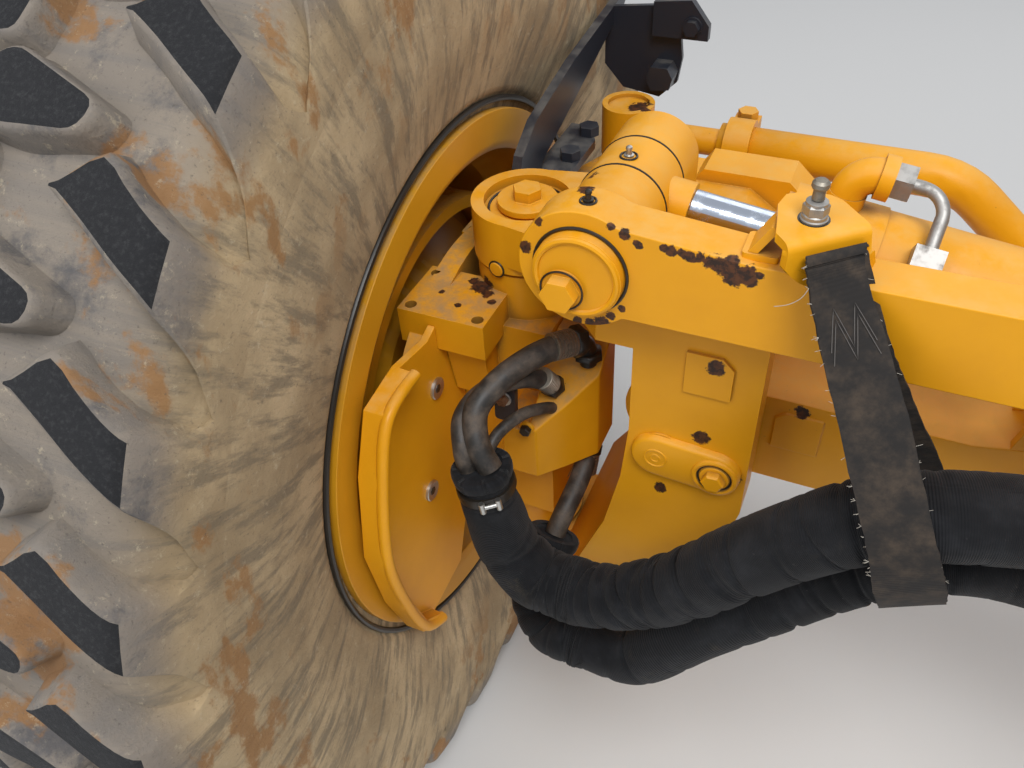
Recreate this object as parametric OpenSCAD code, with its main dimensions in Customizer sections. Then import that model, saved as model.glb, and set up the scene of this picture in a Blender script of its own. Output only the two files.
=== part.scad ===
// Front axle of an all-wheel-drive motor grader, in millimetres.
// X points to the machine's left, Y to its rear and Z up.
// The origin is the middle of the pivot bore that carries the axle on the machine.
// The right side, at minus X, is drawn first; the left side is its mirror image.

/* [Wheel] */
// Distance from the axle's middle to the middle of each tyre
wheel_x = 1040; // [1020:1:1100]
// Height of the wheel's axis
wheel_z = -105; // [-120:1:-90]
// Radius out to the tips of the lugs
tyre_r = 675; // [660:1:690]
// Height of the lugs above the tread
lug_h = 29; // [20:1:34]
// Half of the tyre's width at its bulge
tyre_half_w = 214; // [206:1:224]
// Number of lugs round each shoulder
lug_count = 29; // [22:1:32]
// Clearance between the lugs' tips and the fender
fender_gap = 61; // [50:1:80]
// Radius of the rim's flange
flange_r = 356; // [350:1:362]
// Half of the rim's width over its flanges
rim_half_w = 190; // [186:1:194]

/* [Hub] */
// Radius of the ring with the windows
ring_r = 241; // [236:1:248]
// Number of windows in the ring
window_count = 28; // [12:1:36]
// Radius of the spindle that the hub turns on
spindle_r = 60; // [50:1:70]
// Number of wheel nuts
nut_count = 12; // [6:1:16]
// Radius of the circle of wheel nuts
nut_circle = 182; // [178:1:190]

/* [Knuckle] */
// Distance from the axle's middle to the kingpin's axis
king_x = 767; // [762:1:772]
// Radius of the kingpin
king_r = 28; // [20:1:34]
// Outer radius of the knuckle's bosses
knuckle_boss_r = 62; // [56:1:64]
// Distance from the axle's middle to the inner face of the spindle's flange
plate_x = 841; // [836:1:846]
// Radius of the spindle's flange
spindle_flange_r = 212; // [205:1:220]
// Height of the top of the front and rear pads
pad_top = 95; // [85:1:100]

/* [Yoke] */
// Outer radius of the bosses round the kingpin
boss_r = 65; // [58:1:72]
// Top of the upper boss
king_top = 190; // [180:1:194]
// Foot of the lower boss
king_foot = -408; // [-420:1:-400]
// Inner face of each cheek, from the middle of the axle's depth
cheek_in = 98; // [97:1:102]
// Outer face of each cheek
cheek_out = 150; // [144:1:150]
// Distance from the axle's middle to the lean pin
lean_x = 553; // [548:1:558]
// Radius of the lean pin
lean_r = 27; // [20:1:35]

/* [Lean bar] */
// Distance from the axle's middle to the pin of the lean bar
bar_pin_x = 628; // [620:1:634]
// Height of the pin of the lean bar
bar_pin_z = 254; // [250:1:260]
// Radius of the pin of the lean bar
bar_pin_r = 22; // [16:1:26]
// Front face of the lean bar
bar_front = -200; // [-206:1:-194]
// Back face of the lean bar
bar_back = -155; // [-160:1:-155]
// Radius of the lean bar's eye
bar_eye_r = 60; // [54:1:62]
// Depth of the bar below its pins
bar_low = 44; // [40:1:46]
// Height of the bar above its pins, away from the eyes
bar_high = 40; // [36:1:44]

/* [Axle beam] */
// Half of the beam's depth, front to rear
beam_y = 90; // [80:1:91]
// Half of the beam's height
beam_z = 60; // [54:1:64]
// Radius of the pivot bore at the middle
pivot_r = 40; // [30:1:50]
// Half of the pivot boss's length
pivot_half = 112; // [105:1:120]

/* [Lean cylinder] */
// Distance from the axle's middle to the lean cylinder's foot pin
lean_cyl_x = 165; // [155:1:175]
// Height of the lean cylinder's foot pin
lean_cyl_z = 193; // [188:1:198]
// Plane of the lean cylinder
lean_cyl_y = -55; // [-57:1:-53]
// Radius of the lean cylinder's barrel
lean_barrel_r = 50; // [46:1:52]
// Radius of the lean cylinder's chrome rod
lean_rod_r = 20; // [15:1:24]
// Radius of the pin at the lean cylinder's foot
foot_pin_r = 18; // [12:1:22]
// Radius of the rod's eye and of the ears beside it
ear_r = 45; // [42:1:46]

/* [Tie rod] */
// Distance from the axle's middle to each ball joint
ball_x = 745; // [740:1:750]
// Distance of the ball joints behind the kingpins
ball_y = 300; // [296:1:304]
// Height of the ball joints
ball_z = 133; // [130:1:136]
// Radius of each ball
ball_r = 25; // [22:1:27]
// Outer radius of the ball joint's housing
housing_r = 36; // [34:1:38]
// Radius of the tie rod's tube
tie_r = 27; // [24:1:29]
// Height of the tie rod's low middle
tie_low_z = 40; // [20:1:60]

/* [Hidden] */
yellow = [0.92, 0.62, 0.04];
black = [0.06, 0.06, 0.07];
rubber = [0.12, 0.12, 0.12];
steel = [0.62, 0.62, 0.60];
chrome = [0.80, 0.84, 0.90];
dark = [0.20, 0.20, 0.20];
// Running gap between a pin and its bore, on the radius
gap = 0.03;
// Gap between soft or loose pieces
loose = 0.3;
// Play of a pin in a bore where the linkage is open
play = 8.5;
$fn = 64;

// Basic shapes placed by their ends
module block(a, b) {
    translate([a[0], a[1], a[2]]) cube([b[0] - a[0], b[1] - a[1], b[2] - a[2]]);
}
module bar_x(p, len, r) {
    translate(p) rotate([0, 90, 0]) cylinder(h = len, r = r);
}
module bar_y(p, len, r) {
    translate(p) rotate([-90, 0, 0]) cylinder(h = len, r = r);
}
module bar_z(p, len, r) {
    translate(p) cylinder(h = len, r = r);
}
// A flat outline in X and Z, given thickness along Y from y0 to y1
module slab_y(points, y0, y1) {
    translate([0, y1, 0]) rotate([90, 0, 0]) linear_extrude(height = y1 - y0) polygon(points);
}
// A flat outline in X and Y, given thickness along Z from z0 to z1
module slab_z(points, z0, z1) {
    translate([0, 0, z0]) linear_extrude(height = z1 - z0) polygon(points);
}
// A flat outline in Y and Z, given thickness along X from x0 to x1
module slab_x(points, x0, x1) {
    translate([x0, 0, 0]) rotate([90, 0, 90]) linear_extrude(height = x1 - x0) polygon(points);
}
// A hexagon bolt head standing along minus Y
module bolt_head_front(p, across, h) {
    translate(p) rotate([90, 0, 0]) cylinder(h = h, d = across / cos(30), $fn = 6);
}
module bolt_head_up(p, across, h) {
    translate(p) cylinder(h = h, d = across / cos(30), $fn = 6);
}
module on_left() {
    mirror([1, 0, 0]) children();
}
module both_sides() {
    children();
    on_left() children();
}
// A profile of radius and offset along X, turned round the wheel's axis on the right side
module turned(points, fn = 96) {
    translate([-wheel_x, 0, wheel_z]) rotate([0, 90, 0]) rotate_extrude($fn = fn) polygon(points);
}
// Copies of a piece spaced evenly round the wheel's axis on the right side
module round_wheel(count, turn = 0) {
    for (i = [0 : count - 1])
        translate([-wheel_x, 0, wheel_z]) rotate([(i + turn) * 360 / count, 0, 0]) children();
}

// Tyre: one closed skin over hoops of points round the wheel
bead_r = 318;
seat_half_w = rim_half_w - 12.5;
tread_r = tyre_r - lug_h;
pitch = 360 / lug_count;
// How far a lug's outer end runs ahead of its inner end, in degrees
lug_slant = 9.7;
// Where each of a lug's four edges lies in its pitch: foot, top, top, foot
lug_edges = [0, 0.08, 0.48, 0.56];
bead_corner = bead_r / cos(pitch / 2);
// Hoops from the bore to the tread's middle: points per lug, offset, radius in the groove and on the lug, turn
half_tyre = [
    [1, 190, 470, 470, lug_slant], [1, 150, bead_corner, bead_corner, lug_slant],
    [1, seat_half_w, bead_corner, bead_corner, lug_slant], [1, seat_half_w, flange_r + 3, flange_r + 3, lug_slant],
    [1, tyre_half_w - 12, 432, 432, lug_slant], [2, tyre_half_w, 515, 515, lug_slant],
    [2, tyre_half_w, 578, 578, lug_slant], [2, tyre_half_w - 16, tread_r - 28, tread_r - 28, lug_slant],
    [4, tyre_half_w - 9, tread_r - 12, tyre_r - 8, lug_slant], [4, 128, tread_r, tyre_r, 4.4],
    [4, 26, tread_r, tyre_r, 0], [1, 20, tread_r, tread_r, 0]
];
// All hoops: the bore's middle, one half, and its mirror image half a pitch on
tyre_hoops = concat(
    [[1, 0, 612, 612, lug_slant + pitch / 4]], half_tyre,
    [for (i = [len(half_tyre) - 1 : -1 : 0])
        let (h = half_tyre[i]) [h[0], -h[1], h[2], h[3], h[4] + pitch / 2]]
);
function hoop_point(h, i) =
    let (k = i % h[0], part = h[0] == 4 ? lug_edges[k] : k / h[0], a = (floor(i / h[0]) + part) * pitch + h[4],
        r = k == 1 || k == 2 ? h[3] : h[2])
            [h[1] - wheel_x, -r * sin(a), wheel_z + r * cos(a)];
// Faces from a hoop of n points to one of as many points or a multiple of that
function strip(a, n, b, m, flip) =
    let (k = m / n, mid = ceil(k / 2))
        [for (i = [0 : n - 1])
            let (p = a + i, q = a + (i + 1) % n, c = [for (j = [0 : k]) b + (i * k + j) % m],
                first = [for (j = [0 : mid - 1]) [p, c[j], c[j + 1]]],
                last = mid < k ? [for (j = [mid : k - 1]) [q, c[j], c[j + 1]]] : [])
                    for (f = concat(first, [[p, c[mid], q]], last)) flip ? [f[2], f[1], f[0]] : f];
module tyre_shape() {
    count = len(tyre_hoops);
    sizes = [for (h = tyre_hoops) h[0] * lug_count];
    starts = [for (i = 0, t = 0; i < count; t = t + sizes[i], i = i + 1) t];
    points = [for (h = tyre_hoops, i = [0 : h[0] * lug_count - 1]) hoop_point(h, i)];
    faces = [
        for (j = [0 : count - 1])
            let (k = (j + 1) % count, up = sizes[k] >= sizes[j])
                for (f = up ? strip(starts[j], sizes[j], starts[k], sizes[k], true)
                    : strip(starts[k], sizes[k], starts[j], sizes[j], false)) f
    ];
    color(rubber) polyhedron(points = points, faces = faces);
}
module tyre_right() { tyre_shape(); }
module tyre_left() { on_left() tyre_shape(); }

// Rim with its disc
disc_out = -60;
disc_in = -46;
module rim_shape() {
    color(yellow) difference() {
        turned([
            [flange_r, rim_half_w], [flange_r, seat_half_w + loose], [bead_r - loose, seat_half_w + loose],
            [bead_r - 3, 120], [296, 90], [296, -60], [bead_r - 3, -100],
            [bead_r - loose, -seat_half_w - loose], [flange_r, -seat_half_w - loose], [flange_r, -rim_half_w],
            [318, -rim_half_w], [305, -184], [303, -106], [284, -64], [215, disc_out], [160, disc_out],
            [160, disc_in], [215, disc_in], [284, -44], [284, 96], [303, 126], [305, 184],
            [318, rim_half_w]
        ]);
        round_wheel(nut_count) bar_x([-70, 0, nut_circle], 40, 11);
    }
}
module rim_right() { rim_shape(); }
module rim_left() { on_left() rim_shape(); }

// Hub: drum, ring with windows and final drive cover
ring_in = 225;
module hub_shape() {
    seat = disc_in + 0.1;
    color(yellow) difference() {
        turned([
            [spindle_r + gap, -95], [spindle_r + gap, 118], [130, 118], [150, 100], [205, 90],
            [205, 82], [ring_in, 82], [ring_in, 150], [ring_r, 150], [ring_r, 70], [213, 66],
            [205, -20], [205, seat], [150, seat], [150, -120], [130, -150], [60, -160], [0, -160],
            [0, -95]
        ]);
        round_wheel(window_count, 0.5) block([98, -13, ring_in - 10], [130, 13, ring_r + 14]);
        round_wheel(nut_count) bar_x([seat - 1, 0, nut_circle], 30, 11);
    }
}
module hub_right() { hub_shape(); }
module hub_left() { on_left() hub_shape(); }

module wheel_nuts_shape() {
    color(yellow) round_wheel(nut_count) {
        translate([disc_out - 22.3, 0, nut_circle]) rotate([0, 90, 0])
            cylinder(h = 22, r = 17.3, $fn = 6);
        bar_x([disc_out - 34, 0, nut_circle], 60, 10.9);
    }
}
module wheel_nuts_right() { wheel_nuts_shape(); }
module wheel_nuts_left() { on_left() wheel_nuts_shape(); }

// Knuckle: kingpin column, spindle, pads and steering arm
knuckle_high = 120;
knuckle_low = -330;
column_in = king_x - 55;
arm_top = 84;
guard_t = 10;
pad_inner = 770;
pad_outer = 880;
module knuckle_shape() {
    color(yellow) difference() {
        union() {
            bar_z([-king_x, 0, 20], knuckle_high - 20, knuckle_boss_r);
            bar_z([-king_x, 0, knuckle_low], 90, knuckle_boss_r);
            // Column between the bosses
            slab_z([[-plate_x - 1, -78], [-column_in, -78], [-column_in, 50], [-column_in - 28, 78],
                [-plate_x - 1, 78]], -262, 60);
            // Flange and spindle
            bar_x([-plate_x - 27, 0, wheel_z], 27, spindle_flange_r);
            bar_x([-wheel_x - 85, 0, wheel_z], wheel_x + 85 - plate_x, spindle_r);
            // Front and rear pads with the necks that carry them
            for (s = [-1, 1]) {
                mirror([0, s < 0 ? 0 : 1, 0]) {
                    block([-pad_outer, -130, pad_top - 48], [-pad_inner, -40, pad_top]);
                    slab_x([[-120, pad_top - 30], [-100, -40], [-40, -60], [-40, pad_top - 30]],
                        s < 0 ? -plate_x + guard_t + 1 : -plate_x - 1, -pad_inner - 10);
                }
            }
            // Steering arm
            slab_z([
                [-827, 60], [-727, 60], [-727, 150], [-752, 226], [-756, 233], [-ball_x + 36, 280],
                [-ball_x + 33, 316], [-ball_x, 336], [-ball_x - 33, 320], [-812, 240]
            ], arm_top - 42, arm_top);
        }
        bar_z([-king_x, 0, 10], knuckle_high, king_r + gap);
        bar_z([-king_x, 0, knuckle_low - 10], 110, king_r + gap);
        bar_z([-ball_x, ball_y, arm_top - 50], 60, 14 + gap);
        for (x = [-pad_outer + 12, -pad_inner - 12], y = [-118, -52, 52, 118])
            bar_z([x, y, pad_top - 25], 30, 7);
    }
}
module knuckle_right() { knuckle_shape(); }
module knuckle_left() { on_left() knuckle_shape(); }

// Upper and lower kingpins with their washers and bolts
boss_recess = 12;
module kingpins_shape() {
    pin_top = king_top - boss_recess + 4;
    color(yellow) {
        union() {
            bar_z([-king_x, 0, 24], pin_top - 24, king_r);
            bar_z([-king_x, 0, pin_top - 0.5], 8, 35);
            bolt_head_up([-king_x, 0, pin_top + 7], 30, 14);
        }
        union() {
            bar_z([-king_x, 0, king_foot - 2], 166, king_r);
            bar_z([-king_x, 0, king_foot - 12], 10.5, 35);
            bolt_head_up([-king_x, 0, king_foot - 25], 30, 14);
        }
    }
}
module kingpins_right() { kingpins_shape(); }
module kingpins_left() { on_left() kingpins_shape(); }

// Yoke between the lean pin and the kingpins
cheek = [
    [-590, 160], [-600, 190], [-590, 205], [-494, 205], [-458, 172], [-458, -66], [-485, -190],
    [-560, -320], [-640, -392], [-700, king_foot], [-700, -337], [-672, -292], [-648, -240],
    [-615, -150], [-597, -60], [-590, 20]
];
ear_front = [-cheek_out, lean_cyl_y - 31];
ear_rear = [lean_cyl_y + 31, lean_cyl_y + 87];
module yoke_shape() {
    color(yellow) difference() {
        union() {
            slab_y(cheek, -cheek_out, -cheek_in);
            slab_y(cheek, cheek_in, cheek_out);
            // Webs above and below the beam's end
            slab_y([[-640, 135], [-600, 100], [-492, 100], [-492, 160], [-535, king_top], [-640, king_top]],
                -cheek_in - 1, cheek_in + 1);
            slab_y([[-600, -118], [-478, -118], [-485, -190], [-560, -320], [-640, -392],
                [-700, king_foot], [-700, -337], [-672, -292], [-648, -240], [-615, -150]],
                -cheek_in - 1, cheek_in + 1);
            // Upper arm and boss
            slab_z([[-king_x, -boss_r], [-700, -78], [-630, -cheek_out], [-590, -cheek_out],
                [-590, cheek_out], [-630, cheek_out], [-700, 78], [-king_x, boss_r]], 135, king_top);
            bar_z([-king_x, 0, knuckle_high + 5], king_top - knuckle_high - 5, boss_r);
            // Lower arm and boss
            slab_z([[-king_x, -boss_r], [-700, -78], [-640, -cheek_out + 1], [-640, cheek_out - 1],
                [-700, 78], [-king_x, boss_r]], king_foot, -340);
            bar_z([-king_x, 0, king_foot], knuckle_low - 5 - king_foot, boss_r);
            // Ears of the lean bar's pin
            for (e = [ear_front, ear_rear]) {
                bar_y([-bar_pin_x, e[0], bar_pin_z], e[1] - e[0], ear_r);
                block([-bar_pin_x - ear_r, e[0], king_top - 10], [-bar_pin_x + ear_r, e[1], bar_pin_z]);
            }
            // Raised pad on the front cheek
            slab_y([[-535, 98], [-487, 98], [-487, 138], [-499, 150], [-535, 150]],
                -cheek_out - 4, -cheek_out + 1);
        }
        bar_z([-king_x, 0, knuckle_high], 100, king_r + gap);
        bar_z([-king_x, 0, king_top - boss_recess], 20, 50);
        bar_z([-king_x, 0, king_foot - 10], 90, king_r + gap);
        bar_y([-lean_x, -cheek_out - 10, 0], 2 * cheek_out + 20, lean_r + gap);
        bar_y([-bar_pin_x, ear_front[0] - 10, bar_pin_z], ear_rear[1] - ear_front[0] + 20,
            bar_pin_r + gap);
    }
}
module yoke_right() { yoke_shape(); }
module yoke_left() { on_left() yoke_shape(); }

// Lean pin with its keeper plate
module lean_pin_shape() {
    face = -cheek_out;
    color(yellow) union() {
        bar_y([-lean_x, face - 8, 0], 2 * cheek_out + 12, lean_r);
        slab_y([[-lean_x - 34, -18], [-lean_x - 20, -36], [-lean_x + 60, -52], [-lean_x + 84, -40],
            [-lean_x + 84, -6], [-lean_x + 20, 30], [-lean_x - 20, 30], [-lean_x - 34, 14]],
            face - 10, face);
        bar_y([-lean_x + 62, face - 14, -28], 6, 17);
        bolt_head_front([-lean_x + 62, face - 13, -28], 24, 10);
        bar_y([-lean_x, cheek_out, 0], 10, 40);
    }
}
module lean_pin_right() { lean_pin_shape(); }
module lean_pin_left() { on_left() lean_pin_shape(); }

// Pin through the lean bar's eye and the yoke's ears
module bar_pin_shape() {
    color(yellow) union() {
        bar_y([-bar_pin_x, bar_front - 3, bar_pin_z], ear_rear[1] + 4 - bar_front, bar_pin_r);
        bar_y([-bar_pin_x, bar_front - 11, bar_pin_z], 10, 42);
        bar_y([-bar_pin_x - 12, bar_front - 15, bar_pin_z - 14], 6, 19);
        bolt_head_front([-bar_pin_x - 12, bar_front - 14, bar_pin_z - 14], 30, 14);
        bar_y([-bar_pin_x, ear_rear[1], bar_pin_z], 8, 34);
    }
}
module bar_pin_right() { bar_pin_shape(); }
module bar_pin_left() { on_left() bar_pin_shape(); }

// Hydraulic connection block on the knuckle
block_front = -150;
block_low = -106;
module motor_block_shape() {
    color(yellow) union() {
        intersection() {
            slab_x([[block_front, block_low], [block_front, -25], [-52, 55], [-30, 55], [-30, block_low]],
                -column_in + loose, -646);
            slab_z([[-column_in, block_front], [-702, block_front], [-676, -122], [-646, -86],
                [-646, -30], [-column_in, -30]], block_low - 1, 56);
        }
        block([-746, block_front, block_low], [-column_in + 1, -78 - loose, -30]);
    }
}
module motor_block_right() { motor_block_shape(); }
module motor_block_left() { on_left() motor_block_shape(); }

// Guard plate over the front of the wheel dish
guard_lip = [
    [-214, 87], [-277, 78], [-311, 7], [-334, -106], [-319, -217], [-290, -312], [-246, -353]
];
module hub_guard_shape() {
    color(yellow) difference() {
        union() {
            slab_x(concat([[-131, 82], [-152, 75]], guard_lip,
                [[-149, -342], [-79, -180], [-79, pad_top - 49], [-131, pad_top - 49]]),
                -plate_x + loose, -plate_x + guard_t);
            slab_x(concat(guard_lip, [[-240, -338], [-277, -302], [-305, -212], [-320, -106], [-298, 10],
                [-270, 68], [-214, 77]]), -plate_x + guard_t - 1, -plate_x + 28);
        }
        bar_x([-plate_x - 5, -148, 0], 20, 8);
        bar_x([-plate_x - 5, -194, -137], 20, 8);
    }
}
module hub_guard_right() { hub_guard_shape(); }
module hub_guard_left() { on_left() hub_guard_shape(); }

// Fender over the top of the tyre, and a strip under it in the same arc
fender_r = tyre_r + fender_gap;
fender_in = wheel_x - rim_half_w;
module wheel_arc(points, from, span) {
    translate([-wheel_x, 0, wheel_z]) rotate([0, 90, 0]) rotate([0, 0, 180 - from])
        rotate_extrude(angle = span, $fn = 96) polygon(points);
}
module fender_shape() {
    out = -tyre_half_w;
    in = wheel_x - fender_in;
    color(black) wheel_arc([
        [fender_r, out], [fender_r + 6, out], [fender_r + 6, in], [fender_r - 16, in],
        [fender_r - 16, in - 6], [fender_r, in - 6]
    ], 57, 77);
}
module fender_right() { fender_shape(); }
module fender_left() { on_left() fender_shape(); }

// Bracket from the rear pad up to the fender
arm_x = 815;
arm_t = 12;
function arc_z(r, y) = wheel_z + sqrt(r * r - y * y);
module fender_strip(from, span) {
    in = wheel_x - fender_in;
    end = wheel_x - arm_x + arm_t / 2;
    wheel_arc([
        [fender_r - 16, -150], [fender_r - 0.6, -150], [fender_r - 0.6, in - 7], [fender_r - 20, in - 7],
        [fender_r - 20, end], [fender_r - 32, end], [fender_r - 32, in - 20], [fender_r - 16, in - 20]
    ], from, span);
}
module fender_bracket_shape() {
    foot_top = pad_top + 12;
    shelf = [138, 150];
    rib = [wheel_x - arm_x + 1, wheel_x - arm_x + arm_t - 1];
    color(black) union() {
        block([-pad_outer, 72, pad_top + loose], [-776, 128, foot_top]);
        // Arm, deep at the foot and slender to the rear, and its rise to the fender
        slab_x([[72, foot_top - 1], [64, 183], [71, 197], [115, 223], [242, 246], [417, 263],
            [452, 296], [476, arc_z(fender_r - 26, 476)], [518, arc_z(fender_r - 26, 518)], [500, 290],
            [448, 250], [304, 209], [128, 160], [128, foot_top - 1]], -arm_x, -arm_x + arm_t);
        // Rib and strips under the fender
        wheel_arc([[fender_r - 50, rib[0]], [fender_r - 22, rib[0]], [fender_r - 22, rib[1]],
            [fender_r - 50, rib[1]]], 50, 44);
        fender_strip(48, 7);
        fender_strip(15, 7);
        // Shelf behind the kingpin, with the web that carries it
        slab_z([[-arm_x + 1, 118], [-776, 118], [-766, 150], [-766, 225], [-785, 262], [-arm_x + 1, 262]],
            shelf[0], shelf[1]);
        block([-arm_x + 1, 116, foot_top - 1], [-776, 128, shelf[0] + 1]);
        for (p = [[-780, 169], [-780, 240]]) bolt_head_up([p[0], p[1], shelf[1] - 0.5], 24, 13);
        // Plate across the arm's rear, with the smaller plate and the block on it
        slab_y([[-arm_x + 1, 250], [-arm_x + arm_t, 262], [-735, 270], [-708, 262], [-700, 200], [-705, 165],
            [-730, 140], [-785, 148], [-arm_x + 1, 180]], 398, 406);
        slab_y([[-742, 232], [-742, 278], [-690, 284], [-664, 252], [-664, 232]], 386, 399);
        bar_y([-686, 383, 250], 4, 13);
        bolt_head_front([-686, 384, 250], 19, 10);
        slab_y([[-742, 178], [-736, 196], [-712, 196], [-704, 182], [-708, 166], [-734, 162]], 366, 399);
    }
}
module fender_bracket_right() { fender_bracket_shape(); }
module fender_bracket_left() { on_left() fender_bracket_shape(); }

// Axle beam with the pivot boss and the foot of the lean cylinder
foot_half = 22;
module axle_beam() {
    color(yellow) difference() {
        union() {
            slab_y([
                [-lean_x, -beam_z], [-260, -beam_z], [-120, -88], [120, -88], [260, -beam_z],
                [lean_x, -beam_z], [lean_x, beam_z], [260, beam_z], [120, 90], [-120, 90],
                [-260, beam_z], [-lean_x, beam_z]
            ], -beam_y, beam_y);
            bar_y([-lean_x, -beam_y, 0], 2 * beam_y, beam_z);
            bar_y([lean_x, -beam_y, 0], 2 * beam_y, beam_z);
            bar_y([0, -pivot_half, 0], 2 * pivot_half, 78);
            // Raised stops on the front of the beam beside the cheeks
            both_sides() slab_y([[-446, -8], [-446, 36], [-436, 44], [-396, 44], [-396, -8]],
                -beam_y - 3, -beam_y + 1);
        }
        both_sides() bar_y([-lean_x, -beam_y - 10, 0], 2 * beam_y + 20, lean_r + gap);
        bar_y([0, -pivot_half - 10, 0], 2 * pivot_half + 20, pivot_r);
    }
}

// Two plates on the beam that hold the lean cylinder's foot
function beam_top(x) = x > 260 ? beam_z : x < 120 ? 90 : beam_z + (90 - beam_z) * (260 - x) / 140;
module foot_plate(y0, y1) {
    outer = lean_cyl_x + 62;
    inner = lean_cyl_x - 45;
    slab_y([[-outer, beam_top(outer)], [-inner, beam_top(inner)],
        [-lean_cyl_x + 32, lean_cyl_z + 12], [-lean_cyl_x + 14, lean_cyl_z + 30],
        [-lean_cyl_x - 14, lean_cyl_z + 30], [-lean_cyl_x - 32, lean_cyl_z + 12]], y0, y1);
}
module lean_foot() {
    color(yellow) difference() {
        union() {
            foot_plate(-beam_y, lean_cyl_y - foot_half - 1);
            foot_plate(lean_cyl_y + foot_half + 1, lean_cyl_y + foot_half + 15);
        }
        bar_y([-lean_cyl_x, -beam_y - 5, lean_cyl_z], 100, foot_pin_r + gap);
    }
}

// Pin at the lean cylinder's foot
module lean_foot_pin() {
    color(yellow) union() {
        bar_y([-lean_cyl_x, -beam_y - 5, lean_cyl_z], lean_cyl_y + foot_half + 20 + beam_y, foot_pin_r);
        bar_y([-lean_cyl_x, -beam_y - 6, lean_cyl_z], 6, foot_pin_r + 8);
    }
}

// Lean bar from one yoke to the other
module lean_bar() {
    color(yellow) translate([0, 0, bar_pin_z]) difference() {
        union() {
            slab_y([
                [-bar_pin_x, -bar_low], [bar_pin_x, -bar_low], [bar_pin_x, bar_eye_r - 2], [590, 50],
                [480, bar_high], [-480, bar_high], [-590, 50], [-bar_pin_x, bar_eye_r - 2]
            ], bar_front, bar_back);
            both_sides() bar_y([-bar_pin_x, bar_front, 0], bar_back - bar_front, bar_eye_r);
        }
        bar_y([-bar_pin_x, bar_front - 5, 0], 60, bar_pin_r + gap);
        bar_y([bar_pin_x, bar_front - 5, 0], 60, bar_pin_r + play);
    }
}

// Brackets on the lean bar that carry the straps
bracket_x = [-470, -370];
bracket_top = bar_pin_z + bar_high + 12;
slot_z = bracket_top - 22;
flange_y = bar_front - 46;
module strap_brackets() {
    color(yellow) both_sides() union() {
        difference() {
            union() {
                block([bracket_x[0], flange_y, bracket_top - 12 + loose],
                    [bracket_x[1], bar_back + 3, bracket_top]);
                block([bracket_x[0], flange_y, bracket_top - 68], [bracket_x[1], flange_y + 10, bracket_top]);
            }
            block([bracket_x[0] + 12, flange_y - 5, slot_z - 4], [bracket_x[1] - 12, flange_y + 15, slot_z + 8]);
        }
        bar_z([-430, -190, bracket_top - 1], 14, 16);
        bar_z([-430, -190, bracket_top + 12], 34, 8);
    }
}

// Straps: each is a band in a loop through its slot and round both sleeves
strap_w = 66;
strap_t = 4;
strap_path = [
    [-420, flange_y + 5, slot_z + 2], [-418, flange_y - 5, slot_z - 4], [-371, -264, 238],
    [-337, -293, 174], [-311, -306, 112], [-294, -281, 40], [-281, -256, -22], [-277, -214, -56],
    [-283, -163, -22], [-300, -162, 40], [-350, -194, 140], [-400, -222, 240],
    [-418, flange_y + 15, slot_z - 4]
];
// The band turns to lie along the sleeves below the bar
function across(p) = unit([1, 0, 0.34 * min(1, max(0, (200 - p[2]) / 200))]);
function band_ring(p, i, w, t) =
    let (n = len(p), a = p[(i + n - 1) % n], b = p[(i + 1) % n], d = unit([0, a[2] - b[2], b[1] - a[1]]))
        [for (s = [[-1, -1], [1, -1], [1, 1], [-1, 1]]) p[i] + s[0] * w / 2 * across(p[i]) + s[1] * t / 2 * d];
module band(p, w, t) {
    n = len(p);
    polyhedron(
        points = [for (i = [0 : n - 1], q = band_ring(p, i, w, t)) q],
        faces = [for (i = [0 : n - 1], k = [0 : 3])
            [4 * i + k, 4 * i + (k + 1) % 4, 4 * ((i + 1) % n) + (k + 1) % 4, 4 * ((i + 1) % n) + k]]
    );
}
module straps() {
    color(black) both_sides() band(strap_path, strap_w, strap_t);
}

// Tie rod with its low middle
function corner(a, b, c, cut, n) = [
    for (i = [0 : n])
        let (t = i / n, u = b + cut * unit(a - b), v = b + cut * unit(c - b))
            (1 - t) * (1 - t) * u + 2 * t * (1 - t) * b + t * t * v
];
tie_end_x = 615;
bend_x = [206, 315];
module tie_rod() {
    left = [bend_x[1], ball_y, ball_z];
    left_low = [bend_x[0], ball_y, tie_low_z];
    right = [-bend_x[1], ball_y, ball_z];
    right_low = [-bend_x[0], ball_y, tie_low_z];
    color(yellow) tube(concat(
        [[-tie_end_x, ball_y, ball_z]],
        corner([-tie_end_x, ball_y, ball_z], right, right_low, 40, 5),
        corner(right, right_low, left_low, 40, 5),
        corner(right_low, left_low, left, 40, 5),
        corner(left_low, left, [tie_end_x, ball_y, ball_z], 40, 5),
        [[tie_end_x, ball_y, ball_z]]
    ), tie_r, 24);
}

// Ball joint housing, stem and clamp at each end of the tie rod
housing_low = ball_z - 33;
module tie_ends() {
    color(yellow) both_sides() {
        difference() {
            union() {
                bar_z([-ball_x, ball_y, housing_low], 73, housing_r);
                bar_x([-ball_x + 32, ball_y, ball_z], ball_x - 32 - tie_end_x - gap, 18);
            }
            translate([-ball_x, ball_y, ball_z]) sphere(r = ball_r + loose);
            bar_z([-ball_x, ball_y, housing_low - 1], 20, ball_r - 2);
            bar_z([-ball_x, ball_y, housing_low + 67], 10, 28);
        }
        difference() {
            union() {
                bar_x([-606, ball_y, ball_z], 34, tie_r + 9);
                block([-606, ball_y + 22, ball_z - 22], [-572, ball_y + 52, ball_z + 22]);
                bolt_head_up([-589, ball_y + 40, ball_z + 21], 24, 12);
                bolt_head_up([-589, ball_y + 40, ball_z - 32], 24, 11);
            }
            bar_x([-610, ball_y, ball_z], 42, tie_r + gap);
            block([-610, ball_y + 20, ball_z - 3], [-568, ball_y + 60, ball_z + 3]);
        }
    }
}

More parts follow.
